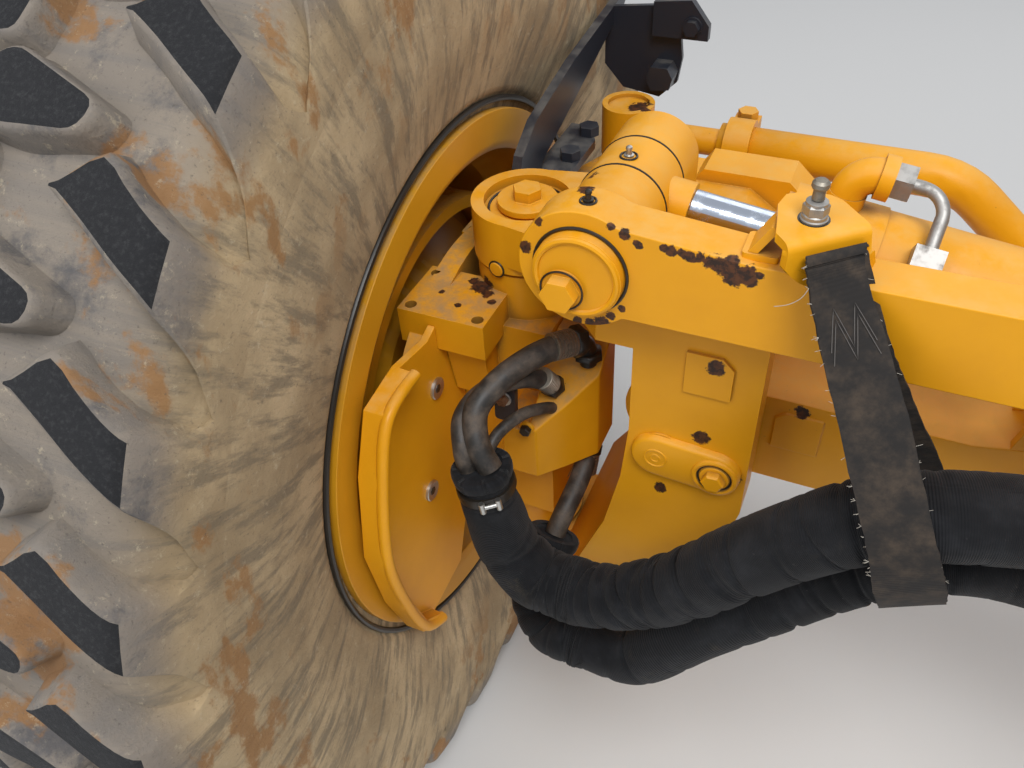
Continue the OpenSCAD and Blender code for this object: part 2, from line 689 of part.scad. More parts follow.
// Ball stud in the steering arm; the left one is short, because its joint is open
module stud_shank(top) {
    bar_z([-ball_x, ball_y, arm_top - 54], top - arm_top + 54, 14);
    bolt_head_up([-ball_x, ball_y, arm_top - 60], 36, 18);
}
module ball_stud_right() {
    color(steel) union() {
        stud_shank(arm_top + 6);
        bar_z([-ball_x, ball_y, arm_top + 5], 30, 11);
        translate([-ball_x, ball_y, ball_z]) sphere(r = ball_r);
    }
}
module ball_stud_left() {
    color(steel) on_left() union() {
        stud_shank(arm_top + 4);
    }
}

// Lean cylinder, drawn along X from its foot and then turned into place
lean_dx = bar_pin_x - lean_cyl_x;
lean_dz = bar_pin_z - lean_cyl_z;
lean_len = sqrt(lean_dx * lean_dx + lean_dz * lean_dz);
lean_tilt = atan2(lean_dz, lean_dx);
gland_from = 232;
gland_to = 321;
module lean_cyl_frame() {
    translate([-lean_cyl_x, lean_cyl_y, lean_cyl_z]) rotate([0, lean_tilt, 0]) mirror([1, 0, 0]) children();
}
module lean_cylinder_barrel() {
    color(yellow) lean_cyl_frame() difference() {
        union() {
            bar_y([0, -foot_half, 0], 2 * foot_half, 34);
            bar_x([26, 0, 0], 42, foot_half);
            bar_x([66, 0, 0], gland_from - 65, lean_barrel_r);
            bar_x([gland_from, 0, 0], gland_to - gland_from - 6, lean_barrel_r + 2);
            bar_x([gland_to - 7, 0, 0], 7, lean_barrel_r - 8);
            // Port elbow with its collar
            bar_z([port_x, 0, lean_barrel_r - 5], port_z - port_bend - lean_barrel_r + 5.1, 17);
            translate([port_x - port_bend, 0, port_z - port_bend]) rotate([90, 0, 0]) quarter_bend(16);
            bar_x([port_x - port_bend - 10, 0, port_z], 12, 20);
        }
        bar_y([0, -foot_half - 5, 0], 2 * foot_half + 10, foot_pin_r + gap);
        bar_x([75, 0, 0], 217, lean_barrel_r - 10);
        bar_x([290, 0, 0], 40, lean_rod_r + gap);
    }
}
eye_neck = 62;
module lean_cylinder_rod() {
    color(chrome) lean_cyl_frame() union() {
        bar_x([154, 0, 0], lean_len - 154 - eye_neck, lean_rod_r);
        bar_x([154, 0, 0], 30, lean_barrel_r - 10 - gap);
    }
}

// Eye welded to the end of the rod
module lean_rod_eye() {
    eye_half = 28;
    color(yellow) lean_cyl_frame() difference() {
        union() {
            bar_x([lean_len - eye_neck, 0, 0], eye_neck - ear_r + 12, eye_half - 2);
            bar_y([lean_len, -eye_half, 0], 2 * eye_half, ear_r);
        }
        bar_y([lean_len, -eye_half - 5, 0], 2 * eye_half + 10, bar_pin_r + play);
    }
}

// Pipe from the port elbow to the clamp on the barrel, in a plane that leans to the front
port_x = 273;
port_bend = 22;
port_z = lean_barrel_r + 36;
module quarter_bend(r) {
    rotate_extrude(angle = 90) translate([port_bend, 0]) circle(r = r);
}
module lean_cylinder_pipe() {
    nut_x = port_x - port_bend - 10;
    along = sin(45) * port_z;
    color(steel) lean_cyl_frame() union() {
        translate([nut_x - 16, 0, port_z]) rotate([0, 90, 0]) cylinder(h = 16 - gap, d = 30 / cos(30), $fn = 6);
        bar_x([nut_x - 26, 0, port_z], 12, 6);
        rotate([45, 0, 0]) {
            translate([nut_x - 25.9, along - port_bend, along]) rotate([0, 0, 90]) quarter_bend(5.7);
            bar_y([nut_x - 25.9 - port_bend, -4, along], along - port_bend + 5, 6);
            block([nut_x - 61, -10, lean_barrel_r + 0.2], [nut_x - 35, 12, along + 9]);
        }
    }
}

// Plates on the beam where the sleeves end
plate_end_x = 160;
module hose_bulkhead() {
    color(yellow) both_sides() union() {
        slab_x([[-276, -12], [-276, 180], [-150, 180], [-beam_y - 11, 150], [-beam_y - 11, 50],
            [-beam_y - loose, 50], [-beam_y - loose, -12]], -plate_end_x, -plate_end_x + 10);
        block([-plate_end_x - 40, -beam_y - 10, -50], [-plate_end_x + 10, -beam_y - loose, 50]);
    }
}

// Hoses: a tube with rings of points laid square to its path
function unit(v) = v / norm(v);
function along(p, i) = unit(p[min(i + 1, len(p) - 1)] - p[max(i - 1, 0)]);
function side_of(t) = unit(cross(t, [0.12, 1, 0.05]));
module tube(path, r, n = 10) {
    count = len(path);
    pts = [
        for (i = [0 : count - 1], k = [0 : n - 1])
            let (t = along(path, i), u = side_of(t), v = cross(t, u), a = 360 * k / n)
                path[i] + r * (cos(a) * u + sin(a) * v)
    ];
    faces = concat(
        [[for (k = [0 : n - 1]) k]],
        [for (i = [0 : count - 2], k = [0 : n - 1])
            [i * n + k, (i + 1) * n + k, (i + 1) * n + (k + 1) % n, i * n + (k + 1) % n]],
        [[for (k = [n - 1 : -1 : 0]) (count - 1) * n + k]]
    );
    polyhedron(points = pts, faces = faces);
}
function spline(p, i, t) =
    let (a = p[max(i - 1, 0)], b = p[i], c = p[i + 1], d = p[min(i + 2, len(p) - 1)])
        0.5 * (2 * b + (c - a) * t + (2 * a - 5 * b + 4 * c - d) * t * t
            + (3 * b - a - 3 * c + d) * t * t * t);
function smooth(p, steps) = concat(
    [for (i = [0 : len(p) - 2], k = [0 : steps - 1]) spline(p, i, k / steps)],
    [p[len(p) - 1]]
);
upper_r = 39;
lower_r = 36;
upper_end = [
    [-722, -250, 8], [-717, -251, -21], [-712, -252, -50], [-696, -255, -105], [-664, -257, -142],
    [-640, -258, -150], [-630, -258, -150], [-620 - loose, -258, -150]
];
upper_route = [
    [-620, -258, -150], [-610, -258, -150], [-600, -258, -150], [-545, -258, -124], [-486, -258, -68],
    [-433, -258, 3], [-395, -258, 50], [-350, -258, 95], [-300, -256, 122], [-240, -240, 126],
    [-195, -228, 126], [-180, -228, 126], [-plate_end_x - loose, -228, 126]
];
lower_end = [
    [-672, -172, -178], [-676, -185, -196], [-680, -198, -214], [-675, -226, -246], [-650, -246, -258],
    [-630, -252, -258], [-620, -252, -258], [-610 - loose, -252, -258]
];
lower_route = [
    [-610, -252, -258], [-600, -252, -258], [-590, -252, -258], [-532, -252, -247], [-466, -244, -160],
    [-400, -228, -92], [-365, -216, -58], [-330, -212, -20], [-300, -213, 8], [-266, -212, 28],
    [-228, -206, 34], [-190, -202, 34], [-175, -202, 34], [-plate_end_x - loose, -202, 34]
];
module upper_sleeve_shape() {
    color(black) tube(smooth(upper_route, 3), upper_r);
}
module upper_sleeve_right() { upper_sleeve_shape(); }
module upper_sleeve_left() { on_left() upper_sleeve_shape(); }
module lower_sleeve_shape() {
    color(black) tube(smooth(lower_route, 3), lower_r);
}
module lower_sleeve_right() { lower_sleeve_shape(); }
module lower_sleeve_left() { on_left() lower_sleeve_shape(); }

// Gathered ends of the sleeves at the knuckle
module sleeve_ends_shape() {
    color(black) {
        tube(smooth(upper_end, 3), upper_r);
        tube(smooth(lower_end, 3), lower_r);
    }
}
module sleeve_ends_right() { sleeve_ends_shape(); }
module sleeve_ends_left() { on_left() sleeve_ends_shape(); }

// Hoses from the connection block into the sleeves
// A point on the mouth of a sleeve, moved sideways and back out of it
function mouth(p, side, back) =
    let (d = unit(p[1] - p[0]))
        p[0] + side - (side * d + back) * d;
hose_over = [
    [-661, -82, 42], [-663, -98, 64], [-676, -122, 92], [-702, -154, 106], [-728, -192, 98],
    [-734, -226, 72], mouth(upper_end, [13, 4, 0], 30), mouth(upper_end, [13, 4, 0], 15),
    mouth(upper_end, [13, 4, 0], 0.5)
];
hose_under = [
    [-694, -112, 17], [-698, -128, 38], [-716, -158, 60], [-742, -192, 62], [-752, -226, 50],
    mouth(upper_end, [-15, -5, 0], 24), mouth(upper_end, [-15, -5, 0], 12), mouth(upper_end, [-15, -5, 0], 0.5)
];
hose_low = [
    [-664, -66, block_low - 10], [-664, -72, -124], [-664, -104, -142],
    mouth(lower_end, [0, 0, 0], 30), mouth(lower_end, [0, 0, 0], 15), mouth(lower_end, [0, 0, 0], 0.5)
];
module slope_fitting(x, y, z, slope, across) {
    translate([x, y, z]) rotate([slope, 0, 0]) translate([0, 0, loose])
        cylinder(h = 20, d = across / cos(30), $fn = 6);
}
module hoses_shape() {
    slope = atan2(80, 98);
    color(dark) {
        union() {
            slope_fitting(-661, -76, 35.4, slope, 30);
            tube(smooth(hose_over, 3), 12);
        }
        union() {
            slope_fitting(-694, -104, 12.55, slope, 27);
            tube(smooth(hose_under, 3), 11);
        }
        union() {
            bolt_head_up([-664, -66, block_low - 16], 30, 16 - loose);
            tube(smooth(hose_low, 3), 13);
        }
    }
}
module hoses_right() { hoses_shape(); }
module hoses_left() { on_left() hoses_shape(); }

axle_beam();
lean_foot();
hose_bulkhead();
lean_foot_pin();
lean_bar();
strap_brackets();
straps();
tie_rod();
tie_ends();
lean_cylinder_barrel();
lean_cylinder_rod();
lean_rod_eye();
lean_cylinder_pipe();
tyre_right();
tyre_left();
rim_right();
rim_left();
hub_right();
hub_left();
wheel_nuts_right();
wheel_nuts_left();
knuckle_right();
knuckle_left();
kingpins_right();
kingpins_left();
yoke_right();
yoke_left();
lean_pin_right();
lean_pin_left();
bar_pin_right();
bar_pin_left();
motor_block_right();
motor_block_left();
hub_guard_right();
hub_guard_left();
fender_bracket_right();
fender_bracket_left();
fender_right();
fender_left();
ball_stud_right();
ball_stud_left();
hoses_right();
hoses_left();
sleeve_ends_right();
sleeve_ends_left();
upper_sleeve_right();
upper_sleeve_left();
lower_sleeve_right();
lower_sleeve_left();
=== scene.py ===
"""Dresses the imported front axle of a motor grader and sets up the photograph's view of it.

Shapes are worked out in millimetres on the right side, at minus X, and mirrored for the left side.
"""
import math
import random

import bmesh
import bpy
import numpy as np
from mathutils import Matrix, Vector


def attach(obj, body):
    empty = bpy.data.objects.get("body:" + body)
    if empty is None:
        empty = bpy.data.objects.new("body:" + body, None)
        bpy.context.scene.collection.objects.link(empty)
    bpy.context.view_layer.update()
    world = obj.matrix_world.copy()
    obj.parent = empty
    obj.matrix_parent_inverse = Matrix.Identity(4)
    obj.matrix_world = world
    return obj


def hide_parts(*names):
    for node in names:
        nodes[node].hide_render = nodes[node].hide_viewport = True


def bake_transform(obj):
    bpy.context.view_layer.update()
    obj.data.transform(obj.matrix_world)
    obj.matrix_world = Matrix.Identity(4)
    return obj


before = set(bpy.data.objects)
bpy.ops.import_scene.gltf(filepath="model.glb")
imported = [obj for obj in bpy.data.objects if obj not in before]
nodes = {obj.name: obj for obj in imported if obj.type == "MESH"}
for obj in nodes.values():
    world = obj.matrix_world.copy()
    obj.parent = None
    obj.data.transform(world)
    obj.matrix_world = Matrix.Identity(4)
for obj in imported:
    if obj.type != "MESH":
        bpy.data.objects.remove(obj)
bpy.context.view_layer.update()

MM = 0.001
SIDES = ("right", "left")

# Places that the source gives, in millimetres
WHEEL_X = 1040
WHEEL_Z = -105
TYRE_R = 675
FLOOR_Z = WHEEL_Z - TYRE_R
LEAN_PIN_X = -553
BAR_PIN_X = -628
BAR_PIN_Z = 254
BAR_TOP = 294.2

# Directions
UP = (0, 0, 1)
FRONT = (0, -1, 0)
REAR = (0, 1, 0)
MIDDLE = (1, 0, 0)

# Camera
CAMERA_AT = (-0.401, -0.805, 0.713)
CAMERA_RIGHT = (0.91333, 0.40406, -0.05062)
CAMERA_UP = (-0.23969, 0.63392, 0.73532)
CAMERA_LENS = 31.0
CAMERA_SENSOR = 36.0
CAMERA_NEAR = 0.02


def add_camera():
    right = Vector(CAMERA_RIGHT).normalized()
    up = Vector(CAMERA_UP).normalized()
    back = right.cross(up)
    turn = Matrix((right, up, back)).transposed().to_4x4()
    data = bpy.data.cameras.new("camera")
    data.lens = CAMERA_LENS
    data.sensor_width = CAMERA_SENSOR
    data.clip_start = CAMERA_NEAR
    camera = bpy.data.objects.new("camera", data)
    camera.matrix_world = Matrix.Translation(CAMERA_AT) @ turn
    bpy.context.scene.collection.objects.link(camera)
    bpy.context.scene.camera = camera


add_camera()


# Sockets of a colour mix, by number
MIX_FACTOR = 0
MIX_A = 6
MIX_B = 7
MIX_OUT = 2
# How far noise pulls at the edge of a bare patch, and where the patch fades, in radii
RAGGED = 2.4
FADE_OUT = 2.3
FADE_IN = 2.1
# Samples for the painted shade in hollows
HOLLOW_SAMPLES = 8


def opaque(value):
    return (*value, 1.0) if isinstance(value, tuple) else value


class Shader:
    """A material's nodes, with short names for the ones used here."""

    def __init__(self, name, rough=0.5, metal=0.0):
        self.material = bpy.data.materials.new(name)
        self.material.use_nodes = True
        self.tree = self.material.node_tree
        self.main = self.tree.nodes["Principled BSDF"]
        self.main.inputs["Roughness"].default_value = rough
        self.main.inputs["Metallic"].default_value = metal
        self.coords = self.add("ShaderNodeTexCoord").outputs
        self.place = self.coords["Object"]

    def add(self, kind, **inputs):
        node = self.tree.nodes.new(kind)
        for name, value in inputs.items():
            self.put(node.inputs[name.replace("_", " ")], value)
        return node

    def put(self, socket, value):
        if isinstance(value, bpy.types.NodeSocket):
            self.tree.links.new(value, socket)
        else:
            socket.default_value = value

    def noise(self, scale, detail=4.0, rough=0.55, place=None):
        node = self.add("ShaderNodeTexNoise", Scale=scale, Detail=detail, Roughness=rough)
        self.put(node.inputs["Vector"], place or self.place)
        return node.outputs["Fac"]

    def stretched(self, factors, place):
        return self.add("ShaderNodeMapping", Vector=place, Scale=factors).outputs["Vector"]

    def ramp(self, value, low, high):
        node = self.add("ShaderNodeMapRange", Value=value, From_Min=low, From_Max=high)
        node.interpolation_type = "SMOOTHSTEP"
        return node.outputs["Result"]

    def math(self, operation, a, b=0.0):
        node = self.add("ShaderNodeMath")
        node.operation = operation
        self.put(node.inputs[0], a)
        self.put(node.inputs[1], b)
        return node.outputs[0]

    def times(self, a, b):
        return self.math("MULTIPLY", a, b)

    def split(self, place):
        return self.add("ShaderNodeSeparateXYZ", Vector=place).outputs

    def join(self, x, y, z=0.0):
        return self.add("ShaderNodeCombineXYZ", X=x, Y=y, Z=z).outputs[0]

    def mix(self, factor, a, b):
        node = self.add("ShaderNodeMix")
        node.data_type = "RGBA"
        self.put(node.inputs[MIX_FACTOR], factor)
        self.put(node.inputs[MIX_A], opaque(a))
        self.put(node.inputs[MIX_B], opaque(b))
        return node.outputs[MIX_OUT]

    def colour(self, value):
        self.put(self.main.inputs["Base Color"], opaque(value))

    def roughness(self, low, high, mask):
        node = self.add("ShaderNodeMapRange", Value=mask, To_Min=low, To_Max=high)
        self.put(self.main.inputs["Roughness"], node.outputs["Result"])

    def bump(self, height, strength, distance):
        node = self.add("ShaderNodeBump", Strength=strength, Distance=distance, Height=height)
        self.put(self.main.inputs["Normal"], node.outputs["Normal"])

    def upward(self, low, high):
        """How far a surface faces up, from 0 to 1."""
        return self.ramp(self.split(self.coords["Normal"])["Z"], low, high)

    # How open a place is; the paint darkens closed places with it, as soil and painted shade
    def hollows(self, reach):
        node = self.add("ShaderNodeAmbientOcclusion", Distance=reach)
        node.only_local = True
        node.samples = HOLLOW_SAMPLES
        return node.outputs["AO"]

    def mirrored_place(self):
        """The place with both sides of the axle laid over each other, at minus X."""
        x, y, z = self.split(self.place)
        return self.join(self.times(self.math("ABSOLUTE", x), -1.0), y, z)

    def near(self, place, centre, radius, ragged):
        """1 within radius of a point in millimetres, with a ragged edge."""
        node = self.add("ShaderNodeVectorMath")
        node.operation = "DISTANCE"
        self.put(node.inputs[0], place)
        node.inputs[1].default_value = [v * MM for v in centre]
        reach = radius * MM
        away = self.math("ADD", node.outputs["Value"], self.times(ragged, reach * RAGGED))
        return self.ramp(away, reach * FADE_OUT, reach * FADE_IN)


# Bare and rusty patches on the yellow paint: place and radius in millimetres
CHIPS = [
    ((-554, -200, 295), 4), ((-547, -200, 293), 5), ((-539, -200, 294), 4), ((-531, -200, 291), 6),
    ((-523, -200, 293), 5), ((-515, -200, 290), 6), ((-507, -200, 289), 8), ((-500, -200, 285), 9),
    ((-493, -200, 281), 10), ((-484, -200, 284), 9), ((-480, -200, 278), 6), ((-497, -198, 294), 7),
    ((-576, -200, 293), 4), ((-588, -200, 300), 5), ((-600, -200, 306), 4), ((-474, -200, 287), 4),
    ((-636, -160, 312), 8), ((-630, -200, 197), 5), ((-618, -200, 196), 6), ((-606, -200, 202), 7),
    ((-598, -200, 212), 5), ((-588, -200, 222), 4), ((-668, -200, 298), 5), ((-560, -150, 20), 4),
    ((-680, -200, 268), 7), ((-505, -150, 138), 10), ((-512, -150, 36), 9), ((-550, -150, -60), 8),
    ((-730, 300, 168), 15), ((-718, 285, 166), 9), ((-655, -100, 298), 8), ((-690, -60, 190), 8),
    ((-804, -60, 96), 12), ((-792, -70, 96), 8), ((-818, -52, 96), 7), ((-780, -82, 96), 5),
    ((-845, -84, 95), 4), ((-815, -101, 95), 4), ((-420, -90, 50), 8), ((-470, -150, -10), 8),
]

# Paint, how it fades, what lies on it, and soil with painted shade in its hollows
PAINT = (0.80, 0.36, 0.008)
WHEEL_PAINT = (0.60, 0.28, 0.012)
FADE = (0.88, 0.84, 0.8)
PALE_DUST = (0.66, 0.48, 0.22)
BROWN_DUST = (0.36, 0.235, 0.12)
WHEEL_DUST = (0.34, 0.23, 0.12)
SOIL_AND_HOLLOW_SHADE = (0.16, 0.085, 0.022)
SPECK = (0.09, 0.045, 0.02)
BARE_RED = (0.10, 0.035, 0.012)
BARE_DARK = (0.03, 0.015, 0.01)
# Dried mud on the tyre, its stains, and the rubber below
MUD = (0.36, 0.265, 0.15)
MUD_PALE = (0.58, 0.44, 0.26)
MUD_STREAK = (0.20, 0.16, 0.105)
MUD_RED = (0.34, 0.165, 0.05)
MUD_LIT = (0.62, 0.53, 0.37)
TREAD_GREY = (0.23, 0.215, 0.205)
TREAD_SMEAR = (0.085, 0.088, 0.10)
MUD_PIT = (0.09, 0.075, 0.06)
# Ribs of the sleeves' cloth and threads of the webbing, to a metre
CLOTH_RIBS = 230.0
WEB_THREADS = 60.0


def yellow_paint(name, colour=PAINT, dust=0.35, chips=True, soil=PALE_DUST):
    s = Shader(name, rough=0.42)
    s.main.inputs["Specular IOR Level"].default_value = 0.3
    patches = s.noise(5.0, 5.0)
    grime = s.noise(38.0, 6.0, 0.65)
    speck = s.noise(160.0, 3.0, 0.7)
    faded = tuple(c * f for c, f in zip(colour, FADE))
    shade = s.mix(s.ramp(patches, 0.35, 0.7), colour, faded)
    settled = s.times(s.upward(0.35, 0.95), s.ramp(grime, 0.3, 0.75))
    dusty = s.mix(s.times(settled, dust), shade, soil)
    # Soil and painted shade: darker in hollows and corners, where little light reaches
    deep = s.ramp(s.hollows(0.03), 0.75, 0.35)
    soiled = s.mix(s.times(deep, 0.75), dusty, SOIL_AND_HOLLOW_SHADE)
    dots = s.times(s.ramp(speck, 0.70, 0.76), s.ramp(patches, 0.5, 0.62))
    spotted = s.mix(s.times(dots, 0.8), soiled, SPECK)
    worn = spotted
    if chips:
        place = s.mirrored_place()
        ragged = s.noise(90.0, 6.0, 0.75)
        bare = 0.0
        for centre, radius in CHIPS:
            bare = s.math("MAXIMUM", bare, s.near(place, centre, radius, ragged))
        rusty = s.mix(s.ramp(speck, 0.4, 0.6), BARE_RED, BARE_DARK)
        worn = s.mix(bare, spotted, rusty)
    s.colour(worn)
    s.roughness(0.38, 0.8, s.math("MAXIMUM", settled, deep))
    s.bump(s.noise(420.0, 2.0), 0.10, 0.0006)
    return s.material


def black_paint():
    s = Shader("black_paint", rough=0.4)
    dust = s.times(s.upward(0.2, 0.9), s.ramp(s.noise(30.0, 6.0), 0.35, 0.75))
    s.colour(s.mix(s.times(dust, 0.5), (0.018, 0.021, 0.03), (0.20, 0.18, 0.15)))
    s.roughness(0.35, 0.75, dust)
    s.bump(s.noise(300.0, 2.0), 0.08, 0.0005)
    return s.material


def wheel_place(s):
    """Radius from the wheel's axis, in metres, and the angle round it."""
    _, y, z = s.split(s.place)
    up = s.math("SUBTRACT", z, WHEEL_Z * MM)
    radius = s.math("SQRT", s.math("ADD", s.times(up, up), s.times(y, y)))
    return radius, s.math("ARCTAN2", y, up)


def dusty_rubber():
    s = Shader("tyre_dusty", rough=0.85)
    radius, angle = wheel_place(s)
    streaks = s.noise(26.0, 6.0, 0.7, s.join(s.times(angle, 0.9), s.times(radius, 0.35)))
    clouds = s.noise(7.0, 5.0, 0.6)
    stains = s.noise(9.0, 7.0, 0.62, s.stretched((1.0, 1.3, 0.8), s.place))
    grit = s.noise(260.0, 4.0, 0.7)
    base = s.mix(s.ramp(clouds, 0.32, 0.68), MUD, MUD_PALE)
    streaky = s.mix(s.times(s.ramp(streaks, 0.46, 0.62), 0.75), base, MUD_STREAK)
    tread = s.ramp(radius, 0.60, 0.65)
    cooler = s.mix(s.times(tread, 0.75), streaky, TREAD_GREY)
    smear = s.times(s.ramp(s.noise(14.0, 8.0, 0.7), 0.5, 0.68), tread)
    smeared = s.mix(s.times(smear, 0.8), cooler, TREAD_SMEAR)
    red = s.times(s.ramp(stains, 0.54, 0.60), s.ramp(radius, 0.40, 0.56))
    stained = s.mix(s.times(red, 0.8), smeared, MUD_RED)
    pits = s.times(s.ramp(grit, 0.58, 0.72), 0.5)
    crackle = s.noise(70.0, 12.0, 0.8)
    pale = s.times(s.ramp(crackle, 0.56, 0.66), 0.5)
    lit = s.mix(pale, stained, MUD_LIT)
    s.colour(s.mix(pits, lit, MUD_PIT))
    s.bump(crackle, 0.8, 0.005)
    return s.material


def worn_rubber():
    s = Shader("tyre_worn", rough=0.8)
    grit = s.noise(240.0, 5.0, 0.7)
    pores = s.noise(110.0, 9.0, 0.8)
    s.colour(s.mix(s.ramp(grit, 0.45, 0.8), (0.012, 0.013, 0.016), (0.05, 0.05, 0.053)))
    s.bump(pores, 0.9, 0.006)
    return s.material


def hose_rubber():
    s = Shader("hose_rubber", rough=0.6)
    dust = s.ramp(s.noise(45.0, 6.0, 0.7), 0.35, 0.8)
    s.colour(s.mix(dust, (0.022, 0.02, 0.018), (0.13, 0.10, 0.075)))
    s.roughness(0.45, 0.85, dust)
    return s.material


def sleeve_cloth():
    s = Shader("sleeve_cloth", rough=0.85)
    uv = s.coords["UV"]
    weave = s.add("ShaderNodeTexWave", Scale=1.0, Distortion=0.4)
    s.put(weave.inputs["Vector"], s.stretched((0.0, CLOTH_RIBS, 0.0), uv))
    weave.bands_direction = "Y"
    dust = s.noise(22.0, 6.0, 0.65, uv)
    lint = s.ramp(s.noise(180.0, 3.0, 0.8, uv), 0.66, 0.74)
    base = s.mix(s.ramp(dust, 0.4, 0.75), (0.0045, 0.005, 0.0065), (0.017, 0.018, 0.021))
    stain = s.ramp(s.noise(13.0, 8.0, 0.7), 0.60, 0.78)
    soiled = s.mix(s.times(stain, 0.45), base, (0.085, 0.070, 0.045))
    s.colour(s.mix(s.times(lint, 0.3), soiled, (0.16, 0.15, 0.14)))
    s.main.inputs["Sheen Weight"].default_value = 0.06
    s.main.inputs["Specular IOR Level"].default_value = 0.25
    s.bump(weave.outputs["Fac"], 0.5, 0.0012)
    return s.material


def webbing():
    s = Shader("webbing", rough=0.9)
    thread = s.add("ShaderNodeTexWave", Scale=1.0, Distortion=0.3)
    uv = s.coords["UV"]
    s.put(thread.inputs["Vector"], s.stretched((WEB_THREADS, WEB_THREADS, 0.0), uv))
    wear = s.ramp(s.noise(30.0, 6.0, 0.7), 0.4, 0.75)
    s.colour(s.mix(wear, (0.014, 0.012, 0.011), (0.062, 0.044, 0.030)))
    s.bump(thread.outputs["Fac"], 0.25, 0.0006)
    return s.material


def bare_metal(name, colour, rough, grime=0.4):
    s = Shader(name, rough=rough, metal=1.0)
    dirt = s.ramp(s.noise(60.0, 6.0, 0.7), 0.45, 0.8)
    s.colour(s.mix(s.times(dirt, grime), colour, tuple(c * 0.35 for c in colour)))
    s.roughness(rough, min(1.0, rough + 0.35), dirt)
    return s.material


def plain(name, colour, rough):
    s = Shader(name, rough=rough)
    s.colour(colour)
    return s.material


def rust():
    s = Shader("rust", rough=0.9)
    grit = s.noise(180.0, 6.0, 0.7)
    s.colour(s.mix(s.ramp(grit, 0.3, 0.7), (0.12, 0.045, 0.018), (0.30, 0.15, 0.07)))
    s.bump(grit, 0.6, 0.002)
    return s.material


YELLOW = yellow_paint("yellow")
YELLOW_PLAIN = yellow_paint("yellow_wheel", WHEEL_PAINT, 0.6, False, WHEEL_DUST)
YELLOW_DUSTY = yellow_paint("yellow_dusty", dust=0.95, soil=BROWN_DUST)
BLACK = black_paint()
DUSTY = dusty_rubber()
WORN = worn_rubber()
HOSE = hose_rubber()
CLOTH = sleeve_cloth()
WEB = webbing()
CHROME = bare_metal("chrome", (0.62, 0.68, 0.78), 0.14, 0.1)
STEEL = bare_metal("steel", (0.42, 0.41, 0.39), 0.55)
ZINC = bare_metal("zinc", (0.60, 0.59, 0.56), 0.4, 0.4)
RUST = rust()
# Near-black, for greasy parts, dark fittings and bands, and painted shade in gaps and holes
GREASE_AND_SHADE = plain("grease_and_shade", (0.02, 0.016, 0.012), 0.35)
THREAD = plain("thread", (0.36, 0.33, 0.28), 0.85)
SEAM = plain("seam", (0.10, 0.092, 0.085), 0.85)
DULL = bare_metal("dull_metal", (0.33, 0.30, 0.25), 0.55, 0.8)


# Meshes
SMALLEST_R = 0.01
EDGE_ANGLE = 32
WELD_WITHIN = 0.00002
FLAT_WITHIN = 1.5


def new_piece(name, points, faces, materials, side, face_slots=None, sharp=38):
    """A piece from points in millimetres, mirrored for the left side."""
    pts = np.asarray(points, float) * MM
    if side == "left":
        pts = pts * (-1, 1, 1)
        faces = [tuple(reversed(f)) for f in faces]
    mesh = bpy.data.meshes.new(name)
    mesh.from_pydata(pts.tolist(), [], faces)
    for material in materials:
        mesh.materials.append(material)
    if face_slots is not None:
        mesh.polygons.foreach_set("material_index", face_slots)
    finish_mesh(mesh, sharp)
    piece = bpy.data.objects.new(name, mesh)
    bpy.context.scene.collection.objects.link(piece)
    return piece


def finish_mesh(mesh, sharp):
    shape = bmesh.new()
    shape.from_mesh(mesh)
    bmesh.ops.recalc_face_normals(shape, faces=shape.faces)
    shape.to_mesh(mesh)
    shape.free()
    mesh.polygons.foreach_set("use_smooth", [True] * len(mesh.polygons))
    mesh.set_sharp_from_angle(angle=math.radians(sharp))
    mesh.validate()
    mesh.update()


class Parts:
    """Gathers points and faces of several closed shapes into one mesh."""

    def __init__(self):
        self.points = []
        self.faces = []
        self.slots = []

    def add(self, points, faces, slot=0):
        start = len(self.points)
        self.points += [tuple(p) for p in points]
        self.faces += [tuple(i + start for i in f) for f in faces]
        self.slots += [slot] * len(faces)

    def make(self, name, materials, side, sharp=38):
        return new_piece(name, self.points, self.faces, materials, side, self.slots, sharp)


def loft(rings, closed=False):
    """Points and faces of a skin over rings of equal length."""
    count, n = len(rings), len(rings[0])
    points = [p for ring in rings for p in ring]
    faces = []
    for i in range(count if closed else count - 1):
        j = (i + 1) % count
        for k in range(n):
            m = (k + 1) % n
            faces.append((i * n + k, i * n + m, j * n + m, j * n + k))
    if not closed:
        faces.append(tuple(range(n - 1, -1, -1)))
        faces.append(tuple((count - 1) * n + k for k in range(n)))
    return points, faces


def frame_along(direction):
    d = Vector(direction).normalized()
    u = d.cross(Vector((0.12, 1.0, 0.05))).normalized()
    return d, u, d.cross(u)


def circle(at, u, v, radius, n, turn=0.0):
    angles = (turn + 2 * math.pi * k / n for k in range(n))
    return [at + (u * math.cos(a) + v * math.sin(a)) * radius for a in angles]


def spun(at, direction, profile, n=32):
    """A profile of (distance along, radius) turned about a line. Radius 0 closes an end."""
    at = Vector(at)
    d, u, v = frame_along(direction)
    return loft([circle(at + d * along, u, v, max(radius, SMALLEST_R), n) for along, radius in profile])


def rounded(along, radius, edge):
    """A profile of a disc or post with a rounded far edge."""
    steps = [(along - edge + edge * math.sin(a), radius - edge + edge * math.cos(a))
             for a in (math.pi / 8 * k for k in range(5))]
    return [(0, 0), (0, radius)] + steps + [(along, 0)]


def hexagon(at, direction, across, height, spin=0.0, edge=2.0):
    """A hexagon head with its corners taken off."""
    at = Vector(at)
    d, u, v = frame_along(direction)
    corner = across / 2 / math.cos(math.pi / 6)
    profile = ((0, corner), (height - edge, corner), (height, corner - edge))
    return loft([circle(at + d * along, u, v, r, 6, spin) for along, r in profile])


